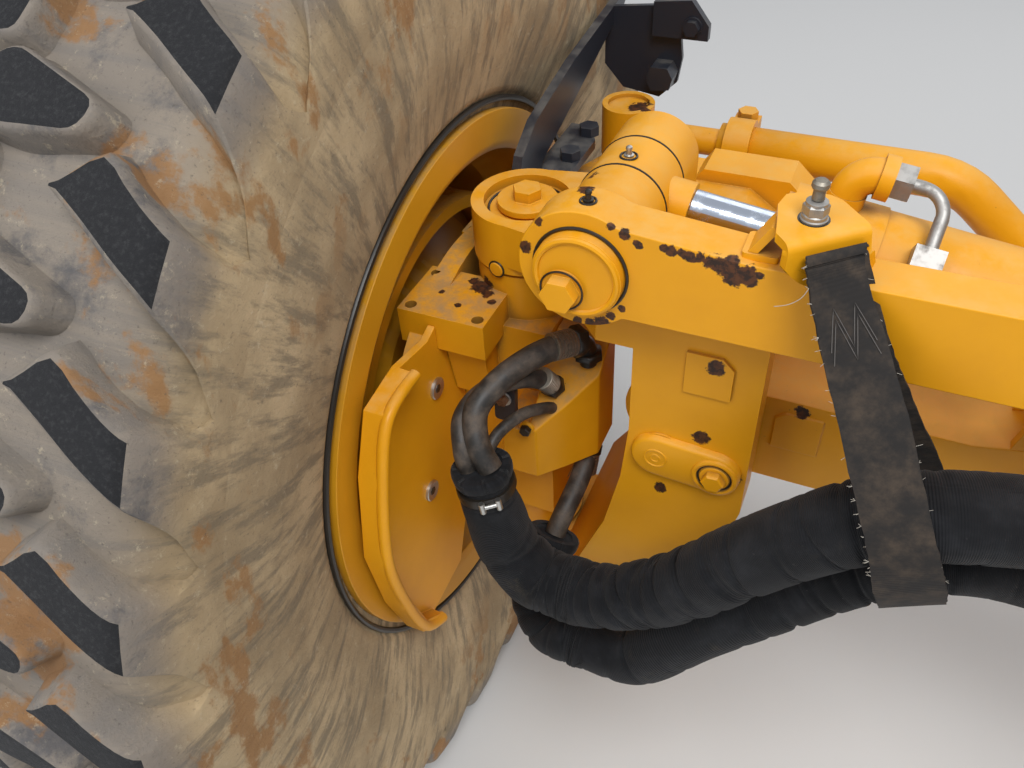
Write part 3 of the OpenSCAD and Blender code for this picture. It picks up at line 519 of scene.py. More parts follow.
def spline(points, steps):
    """A smooth curve through given points."""
    p = [np.array(q, float) for q in points]
    out = []
    for i in range(len(p) - 1):
        a, b, c, d = p[max(i - 1, 0)], p[i], p[i + 1], p[min(i + 2, len(p) - 1)]
        for k in range(steps):
            t = k / steps
            out.append(0.5 * (2 * b + (c - a) * t + (2 * a - 5 * b + 4 * c - d) * t * t
                              + (3 * b - a - 3 * c + d) * t ** 3))
    out.append(p[-1])
    return out


def tube(path, radius, n=20):
    """A skin round a path; radius is a number or a function of how far along and which way round."""
    rings = []
    count = len(path)
    for i, p in enumerate(path):
        ahead = Vector(path[min(i + 1, count - 1)]) - Vector(path[max(i - 1, 0)])
        _, u, v = frame_along(ahead)
        ring = []
        for k in range(n):
            a = 2 * math.pi * k / n
            r = radius(i / (count - 1), a) if callable(radius) else radius
            ring.append(Vector(p) + (u * math.cos(a) + v * math.sin(a)) * r)
        rings.append(ring)
    return loft(rings)


def prism(outline, axis, low, high):
    """A flat outline given thickness along an axis: 0, 1 or 2."""
    return loft([[(*p[:axis], at, *p[axis:]) for p in outline] for at in (low, high)])


def soft_outline(corners, steps=5):
    """An outline from corners (a, b, cut), each rounded over its cut."""
    out = []
    for i, (a, b, cut) in enumerate(corners):
        here = Vector((a, b))
        before = Vector(corners[i - 1][:2]) - here
        after = Vector(corners[(i + 1) % len(corners)][:2]) - here
        start = here + before.normalized() * cut
        end = here + after.normalized() * cut
        for k in range(steps + 1):
            t = k / steps
            out.append(tuple(start * (1 - t) ** 2 + here * (2 * t * (1 - t)) + end * t * t))
    return out


def round_edges(piece, width, segments=2):
    bevel = piece.modifiers.new("edges", "BEVEL")
    bevel.width = width * MM
    bevel.segments = segments
    bevel.limit_method = "ANGLE"
    bevel.angle_limit = math.radians(EDGE_ANGLE)
    bevel.miter_outer = "MITER_ARC"


def soften(node, material, width):
    """Material and rounded edges for a node that keeps its CAD shape."""
    piece = nodes[node]
    piece.data.materials.clear()
    piece.data.materials.append(material)
    weld = piece.modifiers.new("weld", "WELD")
    weld.merge_threshold = WELD_WITHIN
    flat = piece.modifiers.new("flat", "DECIMATE")
    flat.decimate_type = "DISSOLVE"
    flat.angle_limit = math.radians(FLAT_WITHIN)
    if width:
        round_edges(piece, width)
    shade = piece.modifiers.new("shade", "WEIGHTED_NORMAL")
    shade.keep_sharp = True
    for polygon in piece.data.polygons:
        polygon.use_smooth = True


# Tyre
LUG_COUNT = 29
PITCH = 360 / LUG_COUNT
LUG_START = 4.3
STEPS_A_LUG = 8
# Shoulder: offset and radius on the lugs, then in the grooves, then the lug's two edges in degrees
SHOULDER = [
    (97, 674, 95, 645, -1.6, -1.2),
    (115, 674, 112, 644, -2.9, -0.3),
    (137, 673.5, 132, 643, -4.2, 0.8),
    (160, 672.5, 151, 641, -2.9, 2.1),
    (178, 671, 167, 637, -1.8, 3.1),
    (194, 668, 181, 630, -0.9, 4.0),
    (203, 661, 190, 621, -0.3, 4.8),
    (207, 648, 197, 609, 0.0, 5.6),
    (209, 632, 202, 599, 0.3, 6.6),
    (211, 614, 206, 591, 0.5, 8.0),
    (213, 597, 208.5, 586, 0.0, 10.2),
    (213.9, 584, 211, 577, -0.9, 11.9),
    (214, 570, 212.6, 565, -1.4, 12.3),
    (212.4, 550, 213.6, 556, -1.5, 12.4),
]
SIDEWALL = [
    (214, 546), (214, 535), (214, 520), (213.5, 490), (209, 460), (202, 432), (196, 408), (190, 385),
    (187, 377), (183.5, 375), (181, 369), (178.5, 362), (177.5, 357), (177.5, 319)
]
CROWN = [(0, 646), (40, 646), (80, 645.5)]
INSIDE = [(150, 319), (155, 350), (185, 420), (190, 520), (170, 590), (110, 614)]
# One degree on the tread, in millimetres, and how far a block's corners are rounded
DEGREE = 11.8
BLOCK_CUT = 13
BLOCK = [(-8, -9.4), (14, -10.4), (116, -7.1), (107, -4.9), (36, -4.2), (-8, -4.6)]
# Rings of a block, from its foot: how far each stands out from the outline, and its radius
BLOCK_RINGS = [(9, 641), (3, 655), (1, 667), (-1.5, 672), (-5, 674.4), (-14, 675)]
WORN_RING = 4
# Shoulder rows and section faces of a lug that the ground wears bare
WORN_ROWS = 12
WORN_FACES = (2, 3)
# A lug's rounded edge and foot in degrees, how deep it sinks, and where its wall starts below the top
LUG_EDGE = 0.45
LUG_FOOT = 0.75
LUG_SINK = 4
WALL_TOP = 0.16
WALL_LEAN = 0.05


def wheel_point(offset, radius, degrees, sign=1):
    a = math.radians(degrees)
    return (-WHEEL_X + sign * offset, -radius * math.sin(a), WHEEL_Z + radius * math.cos(a))


def tyre_carcass(parts):
    half = CROWN + [(s[2], s[3]) for s in SHOULDER] + SIDEWALL
    profile = [(-u, r) for u, r in reversed(half[1:])] + half
    profile += INSIDE + [(-u, r) for u, r in reversed(INSIDE)]
    turns = LUG_COUNT * STEPS_A_LUG
    rings = [[wheel_point(u, r, 360 * i / turns) for u, r in profile] for i in range(turns)]
    parts.add(*loft(rings, closed=True))


def lug_ring(row, turn, sign):
    """A section across a lug: foot, rounded edges and top."""
    u_top, r_top, u_low, r_low, a, b = row
    a, b = turn + a, turn + b
    soft = min(LUG_EDGE, max(b - a, 0.2) * 0.3)
    low = (u_low - LUG_SINK, r_low - LUG_SINK)
    near = (u_top + (u_low - u_top) * WALL_TOP, r_top + (r_low - r_top) * WALL_TOP)
    top = (u_top, r_top)
    section = (
        (*low, a - LUG_FOOT), (*near, a - WALL_LEAN), (*top, a + soft), (*top, (a + b) / 2),
        (*top, b - soft), (*near, b + WALL_LEAN), (*low, b + LUG_FOOT),
    )
    return [wheel_point(*p, sign) for p in section][::sign]


def shoulder_lug(parts, turn, sign):
    rings = [lug_ring(row, turn, sign) for row in spline(SHOULDER, 2)]
    first = len(parts.slots)
    parts.add(*loft(rings))
    for i in range(WORN_ROWS):
        for k in WORN_FACES:
            parts.slots[first + i * len(rings[0]) + k] = 1


def centre_block(parts, turn, sign):
    outline = soft_outline([(u, a * DEGREE, BLOCK_CUT) for u, a in BLOCK], 3)
    middle = sum((Vector(p) for p in outline), Vector((0, 0))) / len(outline)
    rings = []
    for grow, radius in BLOCK_RINGS:
        ring = []
        for p in outline:
            away = Vector(p) - middle
            at = middle + away * (1 + grow / away.length)
            ring.append(wheel_point(at.x, radius, turn + at.y / DEGREE, sign))
        rings.append(ring[::sign])
    first = len(parts.slots) + WORN_RING * len(outline)
    parts.add(*loft(rings))
    for k in (*range(first, first + len(outline)), -1):
        parts.slots[k] = 1


def add_tyre(side):
    parts = Parts()
    tyre_carcass(parts)
    for i in range(LUG_COUNT):
        for sign, shift in ((1, 0.0), (-1, 0.5)):
            turn = (i + shift) * PITCH + LUG_START
            shoulder_lug(parts, turn, sign)
            centre_block(parts, turn, sign)
    piece = parts.make(f"tyre_{side}_dressed", [DUSTY, WORN], side, sharp=50)
    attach(piece, f"wheel_{side}")
    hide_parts(f"tyre_{side}")


# Sleeves and hoses
UPPER_R = 39
LOWER_R = 36
COLLAR_R = 30
SLEEVE_SIDES = 48
UPPER_END = [
    (-722, -250, 8), (-717, -251, -21), (-712, -252, -50), (-696, -255, -105), (-664, -257, -142),
    (-640, -258, -150), (-630, -258, -150), (-620, -258, -150)
]
UPPER_ROUTE = [
    (-620, -258, -150), (-610, -258, -150), (-600, -258, -150), (-545, -258, -124), (-486, -258, -68),
    (-433, -258, 3), (-395, -258, 50), (-350, -258, 95), (-300, -256, 122), (-240, -240, 126),
    (-195, -228, 126), (-180, -228, 126), (-160.3, -228, 126)
]
LOWER_END = [
    (-672, -172, -178), (-676, -185, -196), (-680, -198, -214), (-675, -226, -246), (-650, -246, -258),
    (-630, -252, -258), (-620, -252, -258), (-610, -252, -258)
]
LOWER_ROUTE = [
    (-610, -252, -258), (-600, -252, -258), (-590, -252, -258), (-532, -252, -247), (-466, -244, -160),
    (-400, -228, -92), (-365, -216, -58), (-330, -212, -20), (-300, -213, 8), (-266, -212, 28),
    (-228, -206, 34), (-190, -202, 34), (-175, -202, 34), (-160.3, -202, 34)
]
HOSE_OVER = [
    (-668, -98, 82), (-684, -122, 88), (-706, -152, 86), (-726, -190, 78), (-738, -220, 60),
    (-728, -242, 34), (-712, -248, 8)
]
# Bent fitting from the block to the upper hose
ELBOW = [(-661, -84, 40), (-661, -85, 58), (-662, -88, 70), (-667, -96, 80), (-676, -110, 85)]
HOSE_UNDER = [
    (-694, -112, 17), (-698, -128, 38), (-716, -158, 60), (-742, -192, 62), (-752, -226, 50),
    (-742, -250, 28), (-736, -254, 5)
]
HOSE_THIN = [
    (-690, -118, -12), (-694, -142, 8), (-706, -172, 22), (-720, -206, 20), (-724, -232, 8),
    (-722, -244, -6), (-721, -248, -14)
]
HOSE_LOW = [
    (-664, -66, -116), (-664, -72, -124), (-664, -104, -142), (-668, -150, -160), (-672, -172, -178)
]
# Hoses: route, radius, and whether the ferrule shows
HOSES = [
    (HOSE_OVER, 14, True), (HOSE_UNDER, 11, True), (HOSE_THIN, 7, False), (HOSE_LOW, 13, True)
]


def path_length(path):
    return sum((Vector(b) - Vector(a)).length for a, b in zip(path, path[1:]))


# Stretches of a sleeve: from, to, spacing of the folds in millimetres and their depth
UPPER_FOLDS = [(0.0, 0.2, 15, 1.0), (0.2, 0.42, 6, 2.0), (0.42, 0.72, 17, 1.0), (0.72, 1.0, 40, 0.6)]
LOWER_FOLDS = [(0.0, 0.35, 22, 0.8), (0.35, 0.6, 11, 1.1), (0.6, 1.0, 30, 0.6)]
END_FOLDS = [(0.0, 0.35, 18, 1.0), (0.35, 1.0, 13, 1.2)]
# Reach, lean and depth of a fold, the slow swell of a sleeve, and the run from its mouth to full size
FOLD_REACH = 14
FOLD_LEAN = 6
FOLD_DEPTH = 3.0
DEEPEST = 1.7
SWELL = 0.8
SLACK = 0.5
EASE_RATE = 14
MOUTH_RUN = 120


def wrinkles(seed, radius, length, stretches, mouth=None):
    """Uneven folds across a gathered sleeve, as a radius by place."""
    chance = random.Random(seed)
    folds = []
    for start, end, spacing, depth in stretches:
        at = start
        while at < end:
            folds.append((at, chance.uniform(0, 2 * math.pi), depth * chance.uniform(0.4, 1.3),
                          chance.uniform(-1.6, 1.6), chance.uniform(1.6, 3.4)))
            at += spacing * chance.uniform(0.6, 1.4) / length
    sags = [(chance.uniform(0, 2 * math.pi), chance.uniform(3, 7)) for _ in range(3)]

    def radius_at(t, a):
        dent = 0.0
        for place, way, depth, lean, width in folds:
            off = (t - place) * length - lean * FOLD_LEAN * math.sin(a - way)
            if abs(off) < FOLD_REACH:
                dent += depth * math.exp(-(off / width) ** 2) * (0.5 + 0.5 * math.cos(a - way))
        ease = min(1.0, EASE_RATE * min(t, 1 - t))
        swell = sum(math.sin(k * a + turn + rate * 3 * t) for k, (turn, rate) in enumerate(sags, 1))
        size = radius
        if mouth:
            size = mouth + (radius - mouth) * min(1.0, t * length / MOUTH_RUN)
        return size - SLACK - FOLD_DEPTH * min(dent, DEEPEST) + ease * SWELL * swell - ease * SWELL

    return radius_at


def add_uv(piece, rings, n, length, radius):
    layer = piece.data.uv_layers.new(name="along")
    for loop in piece.data.loops:
        i, k = divmod(loop.vertex_index, n)
        layer.data[loop.index].uv = (2 * math.pi * radius * k / n * MM, length * i / rings * MM)


def mirrored(path, side):
    sign = -1 if side == "left" else 1
    return [(sign * p[0], p[1], p[2]) for p in path]


def sleeve(name, side, route, radius, seed, steps, stretches, mouth=None):
    """A wrinkled sleeve, the path that it follows in metres, and its length in millimetres."""
    path = spline(route, steps)
    length = path_length(path)
    points, faces = tube(path, wrinkles(seed, radius, length, stretches, mouth), SLEEVE_SIDES)
    piece = new_piece(name, points, faces, [CLOTH], side, sharp=70)
    add_uv(piece, len(path), SLEEVE_SIDES, length, radius)
    return piece, [[c * MM for c in p] for p in mirrored(path, side)], length


def add_main_sleeves(side):
    runs = (
        ("upper", UPPER_ROUTE, UPPER_R, 3, UPPER_FOLDS),
        ("lower", LOWER_ROUTE, LOWER_R, 8, LOWER_FOLDS),
    )
    for label, route, radius, seed, folds in runs:
        name = f"{label}_sleeve_{side}"
        piece, path, length = sleeve(name + "_dressed", side, route, radius, seed, 28, folds)
        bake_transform(piece)
        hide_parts(name)


# Folded edge and band of a collar: distance from the mouth and how far it stands out
FOLD = [(-3, -6), (-3, 1.5), (-1, 3.5), (3, 4), (9, 3.6), (12, 2.2), (12.5, -1)]
BAND = [(20, -1), (20, 2.6), (21, 3.4), (30, 3.6), (31, 2.8), (31, -1)]
COLLAR_SIDES = 40
BUCKLE_AT = 25.5
BUCKLE_LIFT = 5.5
BUCKLE_HALF = 11
BUCKLE_ENDS = (-9, 9)
BUCKLE_FACING = (0.45, -0.75, 0.45)


def add_collar(name, side, route):
    """The folded edge of a sleeve's mouth, the hoses' stuffing and the clamp band with its buckle."""
    path = spline(route, 20)
    parts = Parts()
    at = Vector(path[0])
    d, u, v = frame_along(Vector(path[1]) - at)
    n = COLLAR_SIDES
    parts.add(*spun(at, d, [(2, 0), (2, COLLAR_R - 4), (6, COLLAR_R - 2), (6, 0)], n))
    for profile, slot in ((FOLD, 0), (BAND, 1)):
        rings = []
        for a in (2 * math.pi * k / n for k in range(n)):
            away = u * math.cos(a) + v * math.sin(a)
            uneven = COLLAR_R + 0.5 * math.sin(5 * a)
            rings.append([at + d * along + away * (uneven + out) for along, out in profile])
        parts.add(*loft(rings, closed=True), slot)
    facing = Vector(BUCKLE_FACING)
    facing = (facing - d * facing.dot(d)).normalized()
    across = d.cross(facing)
    buckle = at + d * BUCKLE_AT + facing * (COLLAR_R + BUCKLE_LIFT)
    parts.add(*spun(buckle - across * BUCKLE_HALF, across, rounded(2 * BUCKLE_HALF, 2.6, 1), 12), 2)
    for along in BUCKLE_ENDS:
        parts.add(*spun(buckle + across * along - d * 7, d, rounded(14, 3.4, 1), 12), 2)
    piece = parts.make(name, [CLOTH, GREASE_AND_SHADE, ZINC], side)
    add_uv(piece, 1, n, 40, COLLAR_R)
    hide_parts(f"sleeve_ends_{side}")
    return piece


# Crimps of a ferrule, and each one's steps along and inwards
CRIMPS = 7
CRIMP_PITCH = 4
CRIMP = ((0, 0), (2.6, 0), (3.0, 1.0), (3.6, 1.0))


def add_ferrule(parts, path, radius):
    """The crimped ferrule of a hose and the hexagon that screws it in."""
    at = Vector(path[0])
    d = Vector(path[1]) - at
    parts.add(*hexagon(at - d.normalized() * 4, d, radius * 2.3, 14), 2)
    profile = [(9, 0), (9, radius)]
    for k in range(CRIMPS):
        profile += [(10 + CRIMP_PITCH * k + along, radius + 2 - dip) for along, dip in CRIMP]
    parts.add(*spun(at, d, profile + [(38, 0)], 28), 1)


def add_knuckle_end(side):
    """Sleeve ends and hoses, which curve together between the knuckle and the yoke."""
    made = []
    ends = (("upper", UPPER_END, UPPER_R, 5), ("lower", LOWER_END, LOWER_R, 12))
    for label, route, radius, seed in ends:
        name = f"{label}_sleeve_end_{side}"
        piece = sleeve(name, side, route, radius, seed, 20, END_FOLDS, COLLAR_R)[0]
        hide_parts(f"sleeve_ends_{side}")
        made.append(piece)
        made.append(add_collar(f"{label}_collar_{side}", side, route))
    parts = Parts()
    for route, radius, ferrule in HOSES:
        path = spline(route, 12)
        parts.add(*tube(path, radius, 24))
        if ferrule:
            add_ferrule(parts, path, radius)
    parts.add(*tube(spline(ELBOW, 6), 10, 20), 2)
    parts.add(*hexagon((-661, -84, 50), UP, 30, 10), 2)
    piece = parts.make(f"hoses_{side}_dressed", [HOSE, DULL, GREASE_AND_SHADE], side, sharp=50)
    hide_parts(f"hoses_{side}")
    made.append(piece)
    for piece in made:
        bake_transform(piece)


def sheet_metal(grid, thickness, hole):
    """A bent plate: rows of (point, outward direction), with a hole of missing cells."""
    rows, columns = len(grid), len(grid[0])
    count = rows * columns
    points = [p for row in grid for p, out in row]
    points += [p - out * thickness for row in grid for p, out in row]

    def there(i, j):
        return 0 <= i < rows - 1 and 0 <= j < columns - 1 and (i, j) not in hole

    faces = []
    for i in range(rows - 1):
        for j in range(columns - 1):
            if not there(i, j):
                continue
            a, b, c, d = (r * columns + k for r, k in ((i, j), (i, j + 1), (i + 1, j + 1), (i + 1, j)))
            faces += [(a, b, c, d), (d + count, c + count, b + count, a + count)]
            edges = ((a, b, i - 1, j), (b, c, i, j + 1), (c, d, i + 1, j), (d, a, i, j - 1))
            faces += [(q, p, p + count, q + count) for p, q, m, n in edges if not there(m, n)]
    return points, faces


# Strap bracket on the lean bar: a bent plate, turned to face the sleeves
BRACKET_TOP = 333
BRACKET_T = 8
BRACKET_BEND = 8
CORNER = Vector((-453, -222, 0))
ALONG = Vector((53, 46, 0)).normalized()
INWARD = Vector((-46, 53, 0)).normalized()
# Across the bracket: distance along its front, depth of the top plate, height of the flange's lower edge
BRACKET_LINES = [
    (0, 20, 311), (5, 28, 304), (12, 39, 296), (22, 56, 288), (36, 67, 286), (50, 65, 286), (64, 56, 287),
    (68, 52, 291), (72, 42, 298)
]
TOP_ROWS = 5
BEND_ROWS = 4
FLARE = 0.004
LOW_STEP = 12
SLOT_COLUMNS = range(2, 6)
SLOT_TOP = 321
SLOT_LOW = 310
# Upright on the bar behind the plate, and its foot, in outline
UPRIGHT = [(-488, 299), (-480, 299), (-464, 326), (-472, 326)]
UPRIGHT_FOOT = [(-492, -192, 4), (-462, -192, 4), (-462, -158, 4), (-492, -158, 4)]
# Stud: height and radius of its washer and nut seat, then of its neck and ball
STUD_X = -443
STUD_Y = -178
STUD_SEAT = [(0, 0), (0, 11), (1.6, 11), (2.2, 10), (5, 10), (6, 9), (16, 8.6), (17, 6.6), (17, 0)]
STUD_BALL = [(16, 0), (18, 5), (26, 4.6), (27, 6), (29, 7), (32, 6.6), (34, 4.6), (34.6, 0)]


def bracket_grid():
    """Rows of (point, outward direction), from the top plate's rear edge down to the flange's edge."""
    rows = []
    for k in range(TOP_ROWS + 1):
        part = 1 - k / TOP_ROWS
        rows.append([(along, BRACKET_BEND + (deep - BRACKET_BEND) * part, BRACKET_TOP, 0)
                     for along, deep, _ in BRACKET_LINES])
    for k in range(1, BEND_ROWS + 1):
        a = math.pi / 2 * k / BEND_ROWS
        deep = BRACKET_BEND * (1 - math.sin(a))
        level = BRACKET_TOP - BRACKET_BEND * (1 - math.cos(a))
        rows.append([(along, deep, level, a) for along, _, _ in BRACKET_LINES])
    for slot_edge in (SLOT_TOP, SLOT_LOW, None):
        row = []
        for along, _, low in BRACKET_LINES:
            level = slot_edge or low
            wider = 1 + FLARE * (BRACKET_TOP - level)
            row.append((along * wider, 0, min(level, low + LOW_STEP), math.pi / 2))
        rows.append(row)
    grid = []
    for row in rows:
        grid.append([(CORNER + ALONG * along + INWARD * deep + Vector((0, 0, z)),
                      Vector((0, 0, math.cos(a))) - INWARD * math.sin(a)) for along, deep, z, a in row])
    return grid


def add_bracket(side):
    grid = bracket_grid()
    slot_row = len(grid) - 3
    parts = Parts()
    parts.add(*sheet_metal(grid, BRACKET_T, {(slot_row, j) for j in SLOT_COLUMNS}))
    parts.add(*prism(soft_outline(UPRIGHT_FOOT), 2, BAR_TOP, 300))
    parts.add(*prism(UPRIGHT, 1, -190, -160))
    piece = parts.make(f"bracket_{side}", [YELLOW], side)
    round_edges(piece, 1.8, 3)

    def on_stud(z):
        return (STUD_X, STUD_Y, z)

    studs = Parts()
    studs.add(*spun(on_stud(BAR_TOP), UP, [(0, 0), (0, 12), (31.5, 12), (31.5, 0)], 24), 1)
    studs.add(*spun(on_stud(BRACKET_TOP), UP, STUD_SEAT))
    studs.add(*spun(on_stud(BRACKET_TOP), UP, STUD_BALL), 1)
    studs.add(*hexagon(on_stud(BRACKET_TOP + 6), UP, 18, 9, 0.3))
    # Painted shade: a dark disc in the hole round the stud's foot
    studs.add(*spun(on_stud(BRACKET_TOP - 0.5), UP, [(0, 0), (0, 12.5), (0.9, 12.5), (0.9, 0)]), 2)
    stud = studs.make(f"bracket_stud_{side}", [STEEL, DULL, GREASE_AND_SHADE], side, sharp=30)
    for made, slot in ((piece, "yellow_paint"), (stud, "bare_steel")):
        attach(made, "lean_bar")
        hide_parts("strap_brackets")


# Left and right edge of the strap, round the loop from the slot
STRAP_EDGES = [
    ((-439, -223, 323), (-401, -190, 323)), ((-431, -232, 300), (-394, -200, 303)),
    ((-391, -264, 216), (-346, -246, 232)), ((-343, -303, 121), (-294, -298, 138)),
    ((-326, -301, 66), (-276, -294, 92)), ((-312, -268, 4), (-262, -264, 34)),
    ((-306, -222, -46), (-254, -216, -20)), ((-312, -172, -26), (-262, -168, 0)),
    ((-330, -164, 50), (-282, -160, 76)), ((-376, -200, 164), (-330, -196, 184)),
    ((-404, -222, 240), (-362, -214, 252)), ((-436, -212, 306), (-397, -180, 308)),
    ((-440, -212, 318), (-400, -178, 319))
]
STRAP_T = 2.4
STRAP_STEPS = 10
STRAP_COLUMNS = 7
FRAY = 0.012
CURL = 0.7
# Spacing of the strap's points in its cloth pattern
GRID_ALONG = 8
GRID_ACROSS = 9
# Zigzag seam, in steps along the strap and parts of its width
SEAM_POINTS = 24
SEAM_START = 12
SEAM_SWING = 3.4
SEAM_FROM = 0.14
SEAM_WIDE = 0.72
FRAYED_THREADS = 60
LOOSE_THREAD = [(0, 0, 0), (-4, -3, -8), (-12, -6, -14), (-22, -8, -17)]


def strap_curves():
    """Both edges of the strap as closed smooth curves."""
    curves = []
    for k in (0, 1):
        edge = [pair[k] for pair in STRAP_EDGES]
        closed = spline(edge[-2:] + edge + edge[:2], STRAP_STEPS)
        curves.append(closed[2 * STRAP_STEPS:(2 + len(edge)) * STRAP_STEPS])
    return curves


def add_strap(side):
    chance = random.Random(21)
    left, right = strap_curves()
    n = len(left)
    last = STRAP_COLUMNS - 1
    middle = [(a + b) / 2 for a, b in zip(left, right)]
    centre = sum(middle) / n

    def place(i, across, lift):
        a, b = Vector(left[i % n]), Vector(right[i % n])
        ahead = Vector(middle[(i + 1) % n]) - Vector(middle[i - 1])
        out = (b - a).cross(ahead).normalized()
        if out.dot(Vector(middle[i % n]) - Vector(centre)) < 0:
            out = -out
        return a + (b - a) * across + out * lift

    rings = []
    for i in range(n):
        fray = [chance.uniform(-FRAY, FRAY) for _ in range(2)]
        curl = CURL * math.sin(i * 0.35)
        tops = []
        lows = []
        for k in range(STRAP_COLUMNS):
            across = fray[0] + (1 + fray[1] - fray[0]) * k / last
            rise = curl * (2 * k / last - 1) ** 2
            tops.append(place(i, across, STRAP_T / 2 + rise))
            lows.append(place(i, across, -STRAP_T / 2 + rise))
        rings.append(tops + lows[::-1])
    parts = Parts()
    parts.add(*loft(rings, closed=True))
    piece = parts.make(f"strap_{side}", [WEB], side, sharp=60)
    layer = piece.data.uv_layers.new(name="along")
    for loop in piece.data.loops:
        i, k = divmod(loop.vertex_index, 2 * STRAP_COLUMNS)
        across = k if k < STRAP_COLUMNS else 2 * STRAP_COLUMNS - 1 - k
        layer.data[loop.index].uv = (i * GRID_ALONG * MM, across * GRID_ACROSS * MM)
    threads = Parts()
    # Crossed zigzag seam on the strap's front, below the slot
    for lower in (0, 1):
        zigzag = []
        for k in range(SEAM_POINTS + 1):
            low, part = divmod(SEAM_START + lower + SEAM_SWING * abs((k / 6) % 2 - 1), 1)
            across = SEAM_FROM + SEAM_WIDE * k / SEAM_POINTS
            here, ahead = (place(int(low) + m, across, STRAP_T * 0.75) for m in (0, 1))
            zigzag.append(here * (1 - part) + ahead * part)
        threads.add(*tube(zigzag, 0.4, 6), 1)
    # Frayed threads along the edges, and a long loose one
    for _ in range(FRAYED_THREADS):
        i = chance.randrange(2, 40)
        start = place(i, chance.choice((0.0, 0.0, 0.0, 1.0)), 1)
        away = (start - Vector(middle[i])).normalized()
        wild = Vector([chance.uniform(-1, 1) for _ in range(3)])
        far = chance.uniform(1, 4)
        threads.add(*tube([start, start + away * far * 0.5 + wild, start + away * far + wild * 2], 0.2, 5))
    start = place(9, 0, 1)
    threads.add(*tube(spline([start + Vector(v) for v in LOOSE_THREAD], 5), 0.3, 6))
    seam = threads.make(f"strap_threads_{side}", [THREAD, SEAM], side)
    for made in (piece, seam):
        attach(made, "lean_bar")
        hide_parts("straps")


def ring_round(at, direction, radius, thick, n=48):
    """A round wire ring about a line."""
    d, u, v = frame_along(direction)
    ways = circle(Vector((0, 0, 0)), u, v, 1, n)
    return loft([circle(Vector(at) + out * radius, out, d, thick, 8) for out in ways], closed=True)


# Slots of the materials in a set of fittings, after the paint
# The dark slot holds greasy parts and painted shade alike
ZINCED, GREASED_AND_SHADED, BLACKED, RUSTED = range(1, 5)


def add_fittings(name, side, body, parts):
    piece = parts.make(f"{name}_{side}", [YELLOW, ZINC, GREASE_AND_SHADE, BLACK, RUST], side, sharp=35)
    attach(piece, body)


NIPPLE = [(0, 0), (0, 5), (3, 5), (3.5, 3), (8, 2.6), (9, 3.4), (11, 3), (12, 1.5), (12, 0)]
PLUG_WAY = (-0.21, -0.98, 0)


def add_bar_fittings(side):
    """Raised rim round the bar pin's disc, painted shade where the disc meets the bar, a thin dark ring on
    the disc, and a nipple for greasing.
    """
    parts = Parts()
    parts.add(*ring_round((BAR_PIN_X, -211, BAR_PIN_Z), FRONT, 38, 3.2))
    # Painted shade where the disc meets the bar's face
    parts.add(*ring_round((BAR_PIN_X, -200.4, BAR_PIN_Z), FRONT, 44, 1.6), GREASED_AND_SHADED)
    parts.add(*ring_round((-640, -215.5, 240), FRONT, 20, 1.0), GREASED_AND_SHADED)
    parts.add(*spun((BAR_PIN_X, -180, 313), UP, NIPPLE, 16), GREASED_AND_SHADED)
    parts.add(*ring_round((BAR_PIN_X, -180, 314), UP, 7, 1.2, 24), GREASED_AND_SHADED)
    add_fittings("bar_fittings", side, "lean_bar" if side == "right" else "yoke_left", parts)


def add_yoke_fittings(side):
    """Nipple for greasing, painted shade in the gaps, in the kingpin boss's recess and round the plug, and
    the plug in the kingpin's boss.
    """
    parts = Parts()
    parts.add(*spun((BAR_PIN_X, -68, 298), UP, NIPPLE, 16), ZINCED)
    parts.add(*ring_round((BAR_PIN_X, -68, 299.2), UP, 8, 1.2, 24), GREASED_AND_SHADED)
    # Painted shade in the gaps beside the bar's ear
    for y in (-84.5, -25.5):
        parts.add(*ring_round((BAR_PIN_X, y, BAR_PIN_Z), REAR, 44.3, 1.5), GREASED_AND_SHADED)
    # Painted shade in the recess round the kingpin's washer
    parts.add(*ring_round((-767, 0, 178.4), UP, 45, 1.6), GREASED_AND_SHADED)
    parts.add(*spun((-780, -61.5, 129), PLUG_WAY, rounded(4.5, 9, 1.5), 24))
    # Painted shade in the gap round the plug
    parts.add(*ring_round((-780.5, -64, 129), PLUG_WAY, 10, 1.0, 32), GREASED_AND_SHADED)
    add_fittings("yoke_fittings", side, f"yoke_{side}", parts)


def obround(x0, z0, x1, z1, r, n=12):
    """An outline of two half circles joined by straight lines."""
    way = math.atan2(z1 - z0, x1 - x0)
    out = []
    for x, z, start in ((x1, z1, way - math.pi / 2), (x0, z0, way + math.pi / 2)):
        out += [(x + r * math.cos(start + math.pi * k / n), z + r * math.sin(start + math.pi * k / n))
                for k in range(n + 1)]
    return out


# Plate that holds the lean pin: its steps and their radii, the ends of its middle line, and its bolt
PLATE_STEPS = ((-149, 29), (-156, 28.4), (-158.5, 26.4), (-159.3, 24))
PLATE_LINE = (-556, -4, -492, -8)
DIMPLE_AT = (-556, -159, -4)
BOLT_X = -490
BOLT_Z = -9


